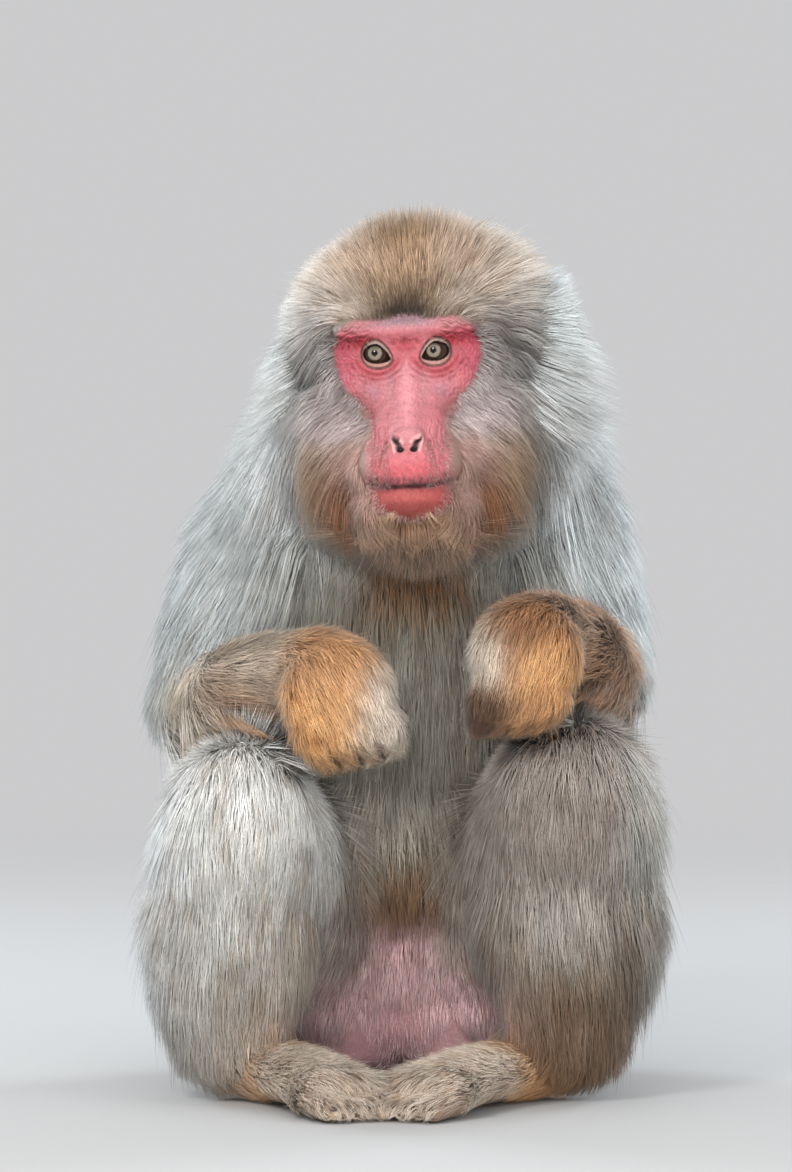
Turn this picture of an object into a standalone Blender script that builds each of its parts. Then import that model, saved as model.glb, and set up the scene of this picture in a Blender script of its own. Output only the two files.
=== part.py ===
"""A life-size Japanese macaque in its winter coat, seated with its forearms across its knees.

The frame is in metres: +Z is up, the animal faces -Y, and its own left side is +X. The origin is
on the floor under the middle of the model. Every solid reaches out to the tips of the coat,
except the bare face, the ears, the eyes and the seat pads.
"""

from math import pi, radians

import bmesh
import bpy
from mathutils import Matrix, Vector

# ------------------------------------------------------------------ driving sizes
GAP = 0.0003                 # the thin cut between two neighbouring solids
BALL_SEGMENTS = 20           # the roundness of the balls that the forms are stretched over
BLOCK = 1.0                  # the side of the block that makes a plane cut
SHARP_ANGLE = 50             # edges sharper than this, in degrees, are shaded as edges

EYE_HEIGHT = 0.449           # the eyes' height above the floor
EYE_SPACING = 0.0350
EYE_RADIUS = 0.0092
HEAD_YAW = radians(-4)       # the head looks a little to the animal's right
HEAD_ROLL = radians(-3)      # and its chin leans a little to the animal's left
BETWEEN_EYES = Vector((0.0025, -0.088, EYE_HEIGHT))

# Torso: places along the spine, with the coat's half-width, half-depth and half-height there.
SPINE = {
    "rump": ((0.000, 0.078, 0.082), (0.118, 0.088, 0.088)),
    "loin": ((0.000, 0.080, 0.170), (0.114, 0.090, 0.090)),
    "ribs": ((0.002, 0.066, 0.262), (0.120, 0.094, 0.085)),
    "withers": ((0.007, 0.050, 0.335), (0.120, 0.088, 0.062)),
    "nape": ((0.014, 0.011, 0.394), (0.118, 0.074, 0.054)),
}
MANTLE = (((-0.058, 0.040, 0.352), (0.062, 0.064, 0.052)), ((0.074, 0.040, 0.362), (0.063, 0.062, 0.052)))
BREAST = ((0.006, -0.012, 0.318), (0.066, 0.044, 0.052))
BELLY = ((0.002, 0.010, 0.150), (0.066, 0.052, 0.070))

# Head coat, as offsets from the point between the eyes in the head's own frame.
HEAD_COAT = {
    "cap": ((0.011, 0.068, 0.004), (0.096, 0.080, 0.088)),
    "forelock": ((0.003, 0.027, 0.030), (0.062, 0.040, 0.030)),
    "occiput": ((0.009, 0.104, -0.034), (0.090, 0.060, 0.064)),
    "ruff": ((0.010, 0.060, -0.046), (0.122, 0.064, 0.056)),
    "cheek_right": ((-0.056, 0.028, -0.052), (0.040, 0.042, 0.044)),
    "cheek_left": ((0.062, 0.028, -0.052), (0.040, 0.042, 0.044)),
    "jowl_right": ((-0.044, 0.030, -0.082), (0.042, 0.044, 0.040)),
    "jowl_left": ((0.054, 0.030, -0.082), (0.042, 0.044, 0.040)),
    "beard": ((0.006, 0.014, -0.108), (0.052, 0.040, 0.032)),
}

# Bare face, in the same frame: half-widths from the middle line.
BRAINCASE = ((0, 0.050, 0.014), (0.050, 0.056, 0.046))
UPPER_FACE = ((0, 0.022, 0.000), (0.052, 0.032, 0.026))
BROW_END, BROW_SIZE = Vector((0.028, 0.006, 0.0155)), (0.0180, 0.0175, 0.0092)
CHEEKBONE, CHEEKBONE_SIZE = Vector((0.027, 0.010, -0.016)), (0.0150, 0.0190, 0.0140)
NOSE_ROOT = ((0, 0.004, -0.004), (0.0110, 0.0110, 0.0100))
NOSE_TIP = ((0, -0.030, -0.049), (0.0095, 0.0130, 0.0080))
SNOUT_TOP = ((0, 0.000, -0.030), (0.0200, 0.0220, 0.0160))
LIPS = ((0, -0.022, -0.066), (0.0290, 0.0270, 0.0175))
CHIN = ((0, -0.014, -0.086), (0.0235, 0.0260, 0.0145))
JAW_HINGE = ((0, 0.040, -0.050), (0.0430, 0.0400, 0.0320))
MOUTH_HEIGHT = -0.0785
LID_RADIUS = 0.0106                        # the lids, as a ball around each eye
LID_OPENING = (0.0082, 0.0120, 0.0060)     # half-width, depth and half-height of the open eye
NOSTRIL, NOSTRIL_SIZE = Vector((0.0042, -0.0415, -0.0525)), (0.0026, 0.0045, 0.0022)
MASK_HALF = (                              # the bare skin's edge, from the brow down to the chin
    (0.0, 0.0195), (0.030, 0.0195), (0.0425, 0.0110), (0.0445, 0.0), (0.0400, -0.0150),
    (0.0270, -0.0290), (0.0230, -0.0430), (0.0262, -0.0580), (0.0270, -0.0740),
    (0.0195, -0.0895), (0.0, -0.0965),
)
MASK_DEPTH = 0.036           # how far back the face piece is set into the head
MASK_BLOCK = 0.16            # the depth of the block that parts the face from the head
EAR, EAR_SIZE = Vector((0.079, 0.068, 0.002)), (0.0055, 0.0140, 0.0200)
EAR_TURN = radians(-24)
EAR_BOWL, EAR_BOWL_SIZE = Vector((0.0060, -0.0020, 0.0010)), (0.0050, 0.0100, 0.0150)
HOLLOW_SHIFT = Vector((0.013, -0.002, 0))  # from the ear to the middle of the hollow in the coat
EAR_HOLLOW = (0.0220, 0.0185, 0.0235)

# Limbs, as (place, coat radii). The two sides differ a little, as the animal sits.
ARMS = {
    "right": {
        "shoulder": ((-0.083, 0.036, 0.318), (0.056, 0.056, 0.056)),
        "elbow": ((-0.121, 0.004, 0.229), (0.039, 0.040, 0.036)),
        "forearm": ((-0.088, -0.070, 0.251), (0.031, 0.031, 0.029)),
        "wrist": ((-0.046, -0.137, 0.268), (0.023, 0.021, 0.021)),
        "back": ((-0.040, -0.154, 0.250), (0.037, 0.022, 0.036)),
        "knuckle_outer": ((-0.052, -0.163, 0.226), (0.019, 0.016, 0.018)),
        "knuckle_inner": ((-0.012, -0.165, 0.236), (0.017, 0.015, 0.018)),
        "finger_drop": (0.005, 0.006, -0.020),
        "finger_curl": (0.006, 0.026, -0.002),
        "thumb": ((-0.008, -0.143, 0.246), (-0.001, -0.139, 0.226)),
    },
    "left": {
        "shoulder": ((0.089, 0.036, 0.322), (0.057, 0.056, 0.056)),
        "elbow": ((0.118, 0.000, 0.250), (0.037, 0.040, 0.036)),
        "forearm": ((0.104, -0.072, 0.270), (0.033, 0.031, 0.030)),
        "wrist": ((0.084, -0.137, 0.289), (0.023, 0.021, 0.021)),
        "back": ((0.072, -0.153, 0.272), (0.036, 0.022, 0.037)),
        "knuckle_outer": ((0.086, -0.162, 0.250), (0.018, 0.016, 0.018)),
        "knuckle_inner": ((0.049, -0.164, 0.244), (0.016, 0.015, 0.018)),
        "finger_drop": (-0.002, 0.006, -0.016),
        "finger_curl": (-0.006, 0.024, -0.002),
        "thumb": ((0.052, -0.143, 0.264), (0.042, -0.140, 0.244)),
    },
}
LEGS = {
    "right": {
        "hip": ((-0.066, 0.046, 0.088), (0.062, 0.078, 0.080)),
        "knee": ((-0.099, -0.102, 0.177), (0.048, 0.045, 0.048)),
        "calf": ((-0.104, -0.080, 0.108), (0.060, 0.054, 0.062)),
        "ankle": ((-0.103, -0.070, 0.046), (0.048, 0.045, 0.046)),
        "heel": (-0.086, -0.066),
        "toes": (-0.042, -0.166),
    },
    "left": {
        "hip": ((0.068, 0.046, 0.088), (0.064, 0.078, 0.080)),
        "knee": ((0.103, -0.102, 0.187), (0.055, 0.048, 0.054)),
        "calf": ((0.100, -0.080, 0.111), (0.067, 0.058, 0.064)),
        "ankle": ((0.099, -0.070, 0.046), (0.049, 0.048, 0.046)),
        "heel": (0.078, -0.066),
        "toes": (0.015, -0.166),
    },
}
FOOT_HEIGHT = 0.024
HEEL_RADIUS = 0.024
SOLE_HALF_WIDTH = 0.025
TOE_LENGTH, TOE_RADIUS = 0.036, 0.0070
FINGER_RADIUS = 0.0095
DIGITS = 4                   # fingers or long toes on each hand or foot, beside the thumb or great toe

SEAT_PAD = Vector((0.032, 0.052, 0.012))
SEAT_PAD_SIZE = (0.021, 0.028, 0.016)
TAIL = (((0, 0.148, 0.064), 0.027), ((0, 0.173, 0.045), 0.025), ((0, 0.189, 0.026), 0.021))

FUR_PALE = (0.46, 0.43, 0.38, 1)
FUR_BROWN = (0.30, 0.22, 0.14, 1)
FUR_GOLD = (0.42, 0.25, 0.11, 1)
SKIN_PINK = (0.72, 0.27, 0.26, 1)
IRIS_BROWN = (0.16, 0.11, 0.06, 1)


# ------------------------------------------------------------------ helpers
def clear_scene():
    for obj in list(bpy.data.objects):
        bpy.data.objects.remove(obj)


def new_collection(name):
    made = bpy.data.collections.new(name)
    bpy.context.scene.collection.children.link(made)
    return made


def new_object(name, mesh, collection):
    made = bpy.data.objects.new(name, mesh)
    collection.objects.link(made)
    return made


def material(name, colour, roughness):
    made = bpy.data.materials.new(name)
    made.use_nodes = True
    shader = made.node_tree.nodes["Principled BSDF"]
    shader.inputs["Base Color"].default_value = colour
    shader.inputs["Roughness"].default_value = roughness
    shader.inputs["Metallic"].default_value = 0.0
    made.diffuse_color = colour
    return made


def radii3(radii):
    return (radii,) * 3 if isinstance(radii, (int, float)) else radii


def add_ball(bm, place, radii):
    matrix = Matrix.Translation(place) @ Matrix.Diagonal((*radii3(radii), 1))
    bmesh.ops.create_uvsphere(
        bm, u_segments=BALL_SEGMENTS, v_segments=BALL_SEGMENTS // 2, radius=1, matrix=matrix
    )


def add_stretch(bm, balls):
    """Adds the skin stretched over a few balls: their convex hull, one closed piece."""
    part = bmesh.new()
    for place, radii in balls:
        add_ball(part, place, radii)
    hull = bmesh.ops.convex_hull(part, input=part.verts)
    spare = {v for v in hull["geom_interior"] + hull["geom_unused"] if isinstance(v, bmesh.types.BMVert)}
    bmesh.ops.delete(part, geom=list(spare), context="VERTS")
    mesh = bpy.data.meshes.new("stretch")
    part.to_mesh(mesh)
    part.free()
    bm.from_mesh(mesh)
    bpy.data.meshes.remove(mesh)


def bake_modifiers(obj):
    """Swaps an object's modifiers for the mesh that they make."""
    graph = bpy.context.evaluated_depsgraph_get()
    mesh = bpy.data.meshes.new_from_object(obj.evaluated_get(graph))
    obj.modifiers.clear()
    obj.data = mesh


def triangles_in(obj):
    obj.data.calc_loop_triangles()
    return len(obj.data.loop_triangles)


def fuse(name, stretches, voxel, smoothing, triangles, matrix=None):
    """One closed, softly blended form from overlapping stretches, thinned to about so many triangles."""
    bm = bmesh.new()
    for balls in stretches:
        add_stretch(bm, balls)
    mesh = bpy.data.meshes.new(name)
    bm.to_mesh(mesh)
    bm.free()
    if matrix is not None:
        mesh.transform(matrix)
    obj = new_object(name, mesh, workshop)
    remesh = obj.modifiers.new("One surface", "REMESH")
    remesh.mode = "VOXEL"
    remesh.voxel_size = voxel
    soften = obj.modifiers.new("Soften", "SMOOTH")
    soften.factor = 0.5
    soften.iterations = smoothing
    bake_modifiers(obj)
    thin(obj, triangles)
    return obj


def thin(obj, triangles):
    decimate = obj.modifiers.new("Thin", "DECIMATE")
    decimate.ratio = min(1.0, triangles / triangles_in(obj))
    # Bent quads would be split one way by a Boolean and another way in the finished solid.
    obj.modifiers.new("Triangles", "TRIANGULATE")
    bake_modifiers(obj)


def copy_of(obj, name, grow=0.0):
    """A copy in the workshop collection, its surface moved outwards by grow."""
    made = new_object(name, obj.data.copy(), workshop)
    made.hide_render = True
    made.display_type = "WIRE"
    if grow:
        bm = bmesh.new()
        bm.from_mesh(made.data)
        bm.normal_update()
        moves = [v.normal * grow * v.calc_shell_factor() for v in bm.verts]
        for vert, move in zip(bm.verts, moves):
            vert.co += move
        bm.to_mesh(made.data)
        bm.free()
    return made


def keep_largest_body(obj):
    """Drops the crumbs that a cut can leave beside the piece itself."""
    bm = bmesh.new()
    bm.from_mesh(obj.data)
    left, bodies = set(bm.verts), []
    while left:
        body, edge = set(), [next(iter(left))]
        while edge:
            vert = edge.pop()
            if vert in left:
                left.remove(vert)
                body.add(vert)
                edge.extend(e.other_vert(vert) for e in vert.link_edges)
        bodies.append(body)
    keep = max(bodies, key=len)
    bmesh.ops.delete(bm, geom=[v for v in bm.verts if v not in keep], context="VERTS")
    bm.to_mesh(obj.data)
    bm.free()


def boolean(obj, other, operation):
    cut = obj.modifiers.new(operation, "BOOLEAN")
    cut.operation = operation
    cut.object = other
    cut.solver = "EXACT"
    bake_modifiers(obj)


def carve(obj, *others):
    """Cuts its neighbours' forms out of obj, leaving the gap between them."""
    for other in others:
        cutter = copy_of(other, "cutter", GAP)
        boolean(obj, cutter, "DIFFERENCE")
        bpy.data.objects.remove(cutter)
    keep_largest_body(obj)


def cut_flat(obj, point, normal):
    """Cuts obj by a plane and drops the side that the normal points to."""
    normal = Vector(normal).normalized()
    place = Matrix.Translation(Vector(point) + normal * BLOCK / 2)
    turn = normal.to_track_quat("Z", "Y").to_matrix().to_4x4()
    bm = bmesh.new()
    bmesh.ops.create_cube(bm, size=BLOCK, matrix=place @ turn)
    mesh = bpy.data.meshes.new("block")
    bm.to_mesh(mesh)
    bm.free()
    block = new_object("block", mesh, workshop)
    boolean(obj, block, "DIFFERENCE")
    bpy.data.objects.remove(block)


def part_at(obj, name, point, normal):
    """Parts obj by a thin cut: obj keeps the side behind the plane, and the other side is returned."""
    normal = Vector(normal).normalized()
    far = copy_of(obj, name)
    cut_flat(obj, Vector(point) - normal * GAP / 2, normal)
    cut_flat(far, Vector(point) + normal * GAP / 2, -normal)
    keep_largest_body(obj)
    keep_largest_body(far)
    return far


def finish_part(obj, name, finish):
    """Names a piece, gives it an origin of its own and its material, and hangs it on the model's empty."""
    obj.name = name
    obj.data.name = name
    workshop.objects.unlink(obj)
    macaque.objects.link(obj)
    obj.hide_render = False
    obj.display_type = "TEXTURED"
    middle = sum((Vector(corner) for corner in obj.bound_box), Vector()) / 8
    obj.data.transform(Matrix.Translation(-middle))
    obj.location = middle
    obj.parent = stand
    obj.data.materials.clear()
    obj.data.materials.append(finish)
    obj.data.shade_smooth()
    obj.data.set_sharp_from_angle(angle=radians(SHARP_ANGLE))


def halfway(a, b, share=0.5):
    return Vector(a).lerp(Vector(b), share)


def bisecting(joint, one, other):
    """The normal of the plane through a joint that parts the limb beyond it from the limb before it."""
    towards = (Vector(other) - Vector(joint)).normalized()
    back = (Vector(one) - Vector(joint)).normalized()
    return (towards - back).normalized()


# ------------------------------------------------------------------ limbs
def make_leg(side):
    plan = LEGS[side]
    return fuse(
        f"leg_{side}",
        [
            (plan["hip"], plan["knee"]),
            (plan["knee"], plan["calf"]),
            (plan["calf"], plan["ankle"]),
        ],
        voxel=0.006, smoothing=6, triangles=330,
    )


def part_leg(leg, side):
    """Parts the leg behind the knee, into thigh and shin."""
    knee, hip, calf = (LEGS[side][name][0] for name in ("knee", "hip", "calf"))
    return part_at(leg, f"shin_{side}", halfway(knee, calf, 0.12), bisecting(knee, hip, calf))


def make_foot(side):
    """The foot points forward and inward, its great toe set off from the long toes."""
    plan = LEGS[side]
    inward = 1 if side == "right" else -1
    heel = Vector((*plan["heel"], HEEL_RADIUS))
    ball = Vector((*plan["toes"], FOOT_HEIGHT * 0.72))
    along = (ball - heel).normalized()
    along.z = 0
    across = Vector((-along.y, along.x, 0)) * inward
    arch = halfway(heel, ball, 0.45) + Vector((0, 0, 0.006))
    outer = ball - across * SOLE_HALF_WIDTH * 0.8
    inner = ball + across * SOLE_HALF_WIDTH * 0.8
    stretches = [
        ((heel, HEEL_RADIUS), (arch, (0.026, 0.026, FOOT_HEIGHT))),
        ((arch, (0.024, 0.024, 0.022)), (outer, 0.0135), (inner, 0.0135)),
    ]
    for n in range(DIGITS):
        root = outer.lerp(inner, n / (DIGITS - 1))
        length = TOE_LENGTH * (1.0 - 0.10 * abs(n - 1.6))
        bend = root + along * length * 0.55 + Vector((0, 0, 0.003))
        tip = root + along * length
        tip.z = TOE_RADIUS * 0.9
        stretches.append(((root, 0.0095), (bend, TOE_RADIUS)))
        stretches.append(((bend, TOE_RADIUS), (tip, TOE_RADIUS * 0.86)))
    great_root = halfway(heel, ball, 0.55) + across * 0.012 - Vector((0, 0, 0.006))
    great_tip = great_root + along * 0.040 + across * 0.015
    great_tip.z = TOE_RADIUS
    stretches.append(((great_root, 0.0125), (great_tip, TOE_RADIUS * 1.1)))
    return fuse(f"foot_{side}", stretches, voxel=0.0028, smoothing=2, triangles=400)


def make_arm(side):
    plan = ARMS[side]
    return fuse(
        f"arm_{side}",
        [
            (plan["shoulder"], plan["elbow"]),
            (plan["elbow"], plan["forearm"]),
            (plan["forearm"], plan["wrist"]),
        ],
        voxel=0.005, smoothing=5, triangles=260,
    )


def part_arm(arm, side):
    """Parts the arm at the elbow, into upper arm and forearm."""
    elbow, shoulder, forearm = (ARMS[side][name][0] for name in ("elbow", "shoulder", "forearm"))
    return part_at(arm, f"forearm_{side}", elbow, bisecting(elbow, shoulder, forearm))


def make_hand(side):
    """The hand hangs from the bent wrist, its fingers curled back under it."""
    plan = ARMS[side]
    wrist = plan["wrist"]
    outer, inner = plan["knuckle_outer"], plan["knuckle_inner"]
    stretches = [(wrist, plan["back"]), (plan["back"], outer, inner)]
    drop, curl = Vector(plan["finger_drop"]), Vector(plan["finger_curl"])
    for n in range(DIGITS):
        root = halfway(outer[0], inner[0], n / (DIGITS - 1))
        bend = root + drop * (1.0 - 0.12 * abs(n - 1.3))
        stretches.append(((root, 0.0125), (bend, FINGER_RADIUS)))
        stretches.append(((bend, FINGER_RADIUS), (bend + curl, FINGER_RADIUS * 0.85)))
    thumb_root, thumb_tip = plan["thumb"]
    stretches.append(((thumb_root, 0.0110), (thumb_tip, 0.0075)))
    return fuse(f"hand_{side}", stretches, voxel=0.0036, smoothing=2, triangles=300)


# ------------------------------------------------------------------ head
def head_frame():
    turn = Matrix.Rotation(HEAD_YAW, 4, "Z") @ Matrix.Rotation(HEAD_ROLL, 4, "Y")
    return Matrix.Translation(BETWEEN_EYES) @ turn


def mirrored(point, side):
    return Vector((side * point[0], point[1], point[2]))


def face_stretches():
    stretches = [
        (BRAINCASE, UPPER_FACE),
        (JAW_HINGE, LIPS),
        (JAW_HINGE, CHIN),
        (SNOUT_TOP, LIPS),
        (NOSE_ROOT, NOSE_TIP),
        (NOSE_ROOT, SNOUT_TOP),
        ((mirrored(BROW_END, -1), BROW_SIZE), (mirrored(BROW_END, 1), BROW_SIZE)),
    ]
    for side in (-1, 1):
        stretches.append(((mirrored(CHEEKBONE, side), CHEEKBONE_SIZE), SNOUT_TOP))
        stretches.append([(Vector((side * EYE_SPACING / 2, 0, 0)), LID_RADIUS)])
    return stretches


def coat_stretches():
    coat = HEAD_COAT
    return [
        (coat["cap"], coat["ruff"]),
        (coat["cap"], coat["forelock"]),
        (coat["cap"], coat["occiput"], coat["ruff"]),
        (coat["ruff"], coat["cheek_right"]),
        (coat["ruff"], coat["cheek_left"]),
        (coat["jowl_right"], coat["ruff"], coat["jowl_left"]),
        (coat["cheek_right"], coat["jowl_right"], coat["beard"]),
        (coat["cheek_left"], coat["jowl_left"], coat["beard"]),
    ]


def mask_cutter(grow):
    """A block with the outline of the bare skin, that parts the face from the furred head."""
    half = [Vector((x, z)) for x, z in MASK_HALF]
    outline = half + [Vector((-p.x, p.y)) for p in reversed(half[1:-1])]
    curve = bpy.data.curves.new("mask", "CURVE")
    curve.dimensions = "2D"
    curve.fill_mode = "BOTH"
    curve.resolution_u = 3
    spline = curve.splines.new("BEZIER")
    spline.use_cyclic_u = True
    spline.bezier_points.add(len(outline) - 1)
    middle = sum(outline, Vector((0, 0))) / len(outline)
    for knot, place in zip(spline.bezier_points, outline):
        place = place + (place - middle).normalized() * grow
        knot.co = (*place, 0)
        knot.handle_left_type = knot.handle_right_type = "AUTO"
    curve.extrude = MASK_BLOCK / 2
    shape = new_object("mask_shape", curve, workshop)
    graph = bpy.context.evaluated_depsgraph_get()
    mesh = bpy.data.meshes.new_from_object(shape.evaluated_get(graph))
    bpy.data.objects.remove(shape)
    weld = bmesh.new()
    weld.from_mesh(mesh)
    bmesh.ops.remove_doubles(weld, verts=weld.verts, dist=1e-5)
    bmesh.ops.recalc_face_normals(weld, faces=weld.faces)
    weld.to_mesh(mesh)
    weld.free()
    # The curve lies in XY and is extruded along Z: stand it up, its outline in XZ.
    upright = Matrix.Translation((0, MASK_DEPTH - MASK_BLOCK / 2 + grow, 0)) @ Matrix.Rotation(pi / 2, 4, "X")
    mesh.transform(head_frame() @ upright)
    return new_object("mask_cutter", mesh, workshop)


def ball_object(name, place, radii, segments=24, matrix=None):
    bm = bmesh.new()
    shape = Matrix.Translation(place) @ Matrix.Diagonal((*radii3(radii), 1))
    if matrix is not None:
        shape = matrix @ shape
    bmesh.ops.create_uvsphere(bm, u_segments=segments, v_segments=segments // 2, radius=1, matrix=shape)
    mesh = bpy.data.meshes.new(name)
    bm.to_mesh(mesh)
    bm.free()
    return new_object(name, mesh, workshop)


def make_head():
    """The furred head, the bare face with its lower jaw, the eyes and the ears."""
    frame = head_frame()
    head = fuse("head", coat_stretches(), voxel=0.005, smoothing=5, triangles=540, matrix=frame)
    face = fuse("face", face_stretches(), voxel=0.0022, smoothing=4, triangles=1200, matrix=frame)

    eyes, ears = [], []
    for name, side in (("right", -1), ("left", 1)):
        centre = Vector((side * EYE_SPACING / 2, 0, 0))
        eyes.append(ball_object(f"eye_{name}", centre, EYE_RADIUS, 14, frame))
        opening = ball_object("opening", centre + Vector((0, -EYE_RADIUS, 0)), LID_OPENING, 20, frame)
        boolean(face, opening, "DIFFERENCE")
        bpy.data.objects.remove(opening)
        nostril = ball_object("nostril", mirrored(NOSTRIL, side), NOSTRIL_SIZE, 8, frame)
        boolean(face, nostril, "DIFFERENCE")
        bpy.data.objects.remove(nostril)

        place = mirrored(EAR, side) + Vector((HEAD_COAT["cap"][0][0], 0, 0))
        hollow = ball_object("hollow", place + mirrored(HOLLOW_SHIFT, side), EAR_HOLLOW, 12, frame)
        boolean(head, hollow, "DIFFERENCE")
        bpy.data.objects.remove(hollow)
        ears.append(make_ear(f"ear_{name}", place, side, frame))

    mask = mask_cutter(0)
    boolean(face, mask, "INTERSECT")
    bpy.data.objects.remove(mask)
    keep_largest_body(face)
    carve(face, *eyes)
    around = mask_cutter(GAP)
    boolean(head, around, "DIFFERENCE")
    bpy.data.objects.remove(around)
    keep_largest_body(head)
    carve(head, *eyes, *ears)
    mouth = frame @ Vector((0, 0, MOUTH_HEIGHT))
    jaw = part_at(face, "lower_jaw", mouth, frame.to_3x3() @ Vector((0, 0.10, -1)))
    return head, face, jaw, eyes, ears


def make_ear(name, place, side, frame):
    """A rounded ear, hollowed on the side that faces forward and out."""
    turn = Matrix.Rotation(side * EAR_TURN, 4, "Z")
    ear_frame = frame @ Matrix.Translation(place) @ turn
    ear = ball_object(name, (0, 0, 0), EAR_SIZE, 14, ear_frame)
    bowl = ball_object("bowl", mirrored(EAR_BOWL, side), EAR_BOWL_SIZE, 12, ear_frame)
    boolean(ear, bowl, "DIFFERENCE")
    bpy.data.objects.remove(bowl)
    return ear


# ------------------------------------------------------------------ torso
def make_torso():
    spine = list(SPINE.values())
    stretches = list(zip(spine, spine[1:]))
    stretches += [(SPINE["nape"], SPINE["withers"], mantle) for mantle in MANTLE]
    stretches.append((SPINE["ribs"], BREAST))
    stretches.append((BREAST, BELLY))
    stretches.append((SPINE["loin"], BELLY))
    return fuse("torso", stretches, voxel=0.007, smoothing=8, triangles=470)


def make_tail():
    balls = list(TAIL)
    return fuse("tail", list(zip(balls, balls[1:])), voxel=0.004, smoothing=3, triangles=120)


def make_seat_pads():
    pads = []
    for name, side in (("right", -1), ("left", 1)):
        pads.append(ball_object(f"seat_pad_{name}", mirrored(SEAT_PAD, side), SEAT_PAD_SIZE, 12))
    return pads


# ------------------------------------------------------------------ assembly
clear_scene()
macaque = new_collection("japanese_macaque")
workshop = new_collection("workshop")
stand = new_object("stand", None, macaque)

fur_pale = material("fur_pale", FUR_PALE, 0.9)
fur_brown = material("fur_brown", FUR_BROWN, 0.9)
fur_gold = material("fur_gold", FUR_GOLD, 0.9)
skin_pink = material("skin_pink", SKIN_PINK, 0.5)
iris_brown = material("iris_brown", IRIS_BROWN, 0.1)

SIDES = ("right", "left")
head, face, jaw, eyes, ears = make_head()
torso = make_torso()
tail = make_tail()
pads = make_seat_pads()
forms = {
    side: {"arm": make_arm(side), "hand": make_hand(side), "leg": make_leg(side), "foot": make_foot(side)}
    for side in SIDES
}

# Neighbours are carved by whole, smooth forms; each form is parted and cut level at the floor later.
head_form = copy_of(head, "head_form")
whole = {side: {part: copy_of(form, f"{part}_form") for part, form in forms[side].items()} for side in SIDES}
carve(torso, tail, *pads, head_form)
for pad, side in zip(pads, SIDES):
    carve(torso, *whole[side].values())
    carve(forms[side]["arm"], whole[side]["hand"], whole[side]["leg"], head_form)
    carve(forms[side]["leg"], whole[side]["foot"], pad)
carve(forms["left"]["leg"], whole["right"]["leg"])
carve(forms["left"]["foot"], whole["right"]["foot"])

limbs = {}
for side in SIDES:
    form = forms[side]
    forearm, shin = part_arm(form["arm"], side), part_leg(form["leg"], side)
    limbs[side] = {
        "upper_arm": form["arm"], "forearm": forearm, "hand": form["hand"],
        "thigh": form["leg"], "shin": shin, "foot": form["foot"],
    }
chest = part_at(torso, "chest", (0, 0.05, 0.222), (0, -0.15, 1))
neck = part_at(chest, "neck", (0, 0.03, 0.352), (0, -0.45, 1))
rump = part_at(torso, "rump", (0, 0.07, 0.118), (0, -0.1, -1))
on_floor = [rump, tail, *pads]
for side in SIDES:
    on_floor += [limbs[side]["thigh"], limbs[side]["shin"], limbs[side]["foot"]]
for piece in on_floor:
    cut_flat(piece, (0, 0, 0), (0, 0, -1))

named = {
    "head": (head, fur_brown), "face": (face, skin_pink), "lower_jaw": (jaw, skin_pink),
    "neck": (neck, fur_pale), "chest": (chest, fur_pale), "abdomen": (torso, fur_pale),
    "rump": (rump, fur_pale), "tail": (tail, fur_brown),
}
for n, side in enumerate(SIDES):
    named[f"eye_{side}"] = (eyes[n], iris_brown)
    named[f"ear_{side}"] = (ears[n], skin_pink)
    named[f"seat_pad_{side}"] = (pads[n], skin_pink)
    for part, obj in limbs[side].items():
        finish = {"forearm": fur_brown, "hand": fur_gold, "foot": fur_gold}.get(part, fur_pale)
        named[f"{part}_{side}"] = (obj, finish)
for name, (obj, finish) in named.items():
    finish_part(obj, name, finish)

# The forms that only shaped their neighbours are done with.
for form in list(workshop.objects):
    bpy.data.objects.remove(form)
bpy.data.collections.remove(workshop)
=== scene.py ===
# %% [markdown]
# # A Japanese macaque in its winter coat
#
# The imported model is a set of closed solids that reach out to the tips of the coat. Here the animal gets
# what those solids stand for: one continuous skin with a bare, wrinkled face, two moist eyes, nails, and a
# thick coat of thin mesh tufts. Everything takes its place from the solids, so nothing is fitted later.

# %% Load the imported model
import math

import bmesh
import bpy
import numpy as np
from mathutils import Matrix, Vector
from mathutils.bvhtree import BVHTree
from mathutils.kdtree import KDTree


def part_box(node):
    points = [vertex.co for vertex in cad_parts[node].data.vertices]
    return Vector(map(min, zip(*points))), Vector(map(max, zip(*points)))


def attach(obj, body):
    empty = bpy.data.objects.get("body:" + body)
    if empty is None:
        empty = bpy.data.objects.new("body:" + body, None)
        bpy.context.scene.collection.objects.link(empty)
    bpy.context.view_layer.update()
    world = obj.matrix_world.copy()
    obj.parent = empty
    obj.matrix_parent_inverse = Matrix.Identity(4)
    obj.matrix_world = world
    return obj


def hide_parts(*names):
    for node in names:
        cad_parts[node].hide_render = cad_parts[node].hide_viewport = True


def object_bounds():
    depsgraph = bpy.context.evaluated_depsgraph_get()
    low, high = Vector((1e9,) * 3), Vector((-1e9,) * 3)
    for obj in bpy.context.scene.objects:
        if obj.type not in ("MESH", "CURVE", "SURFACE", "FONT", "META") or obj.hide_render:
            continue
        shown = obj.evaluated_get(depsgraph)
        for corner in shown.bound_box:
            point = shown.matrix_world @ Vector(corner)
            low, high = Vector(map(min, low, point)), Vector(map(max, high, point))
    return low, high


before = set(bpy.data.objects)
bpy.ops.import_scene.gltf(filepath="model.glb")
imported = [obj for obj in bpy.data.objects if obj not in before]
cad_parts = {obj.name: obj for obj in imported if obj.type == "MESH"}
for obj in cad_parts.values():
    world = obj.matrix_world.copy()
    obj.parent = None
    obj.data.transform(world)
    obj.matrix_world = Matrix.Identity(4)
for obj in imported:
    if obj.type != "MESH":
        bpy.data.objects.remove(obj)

solid_low, solid_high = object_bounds()
solid_low, solid_high = np.array(solid_low), np.array(solid_high)
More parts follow.
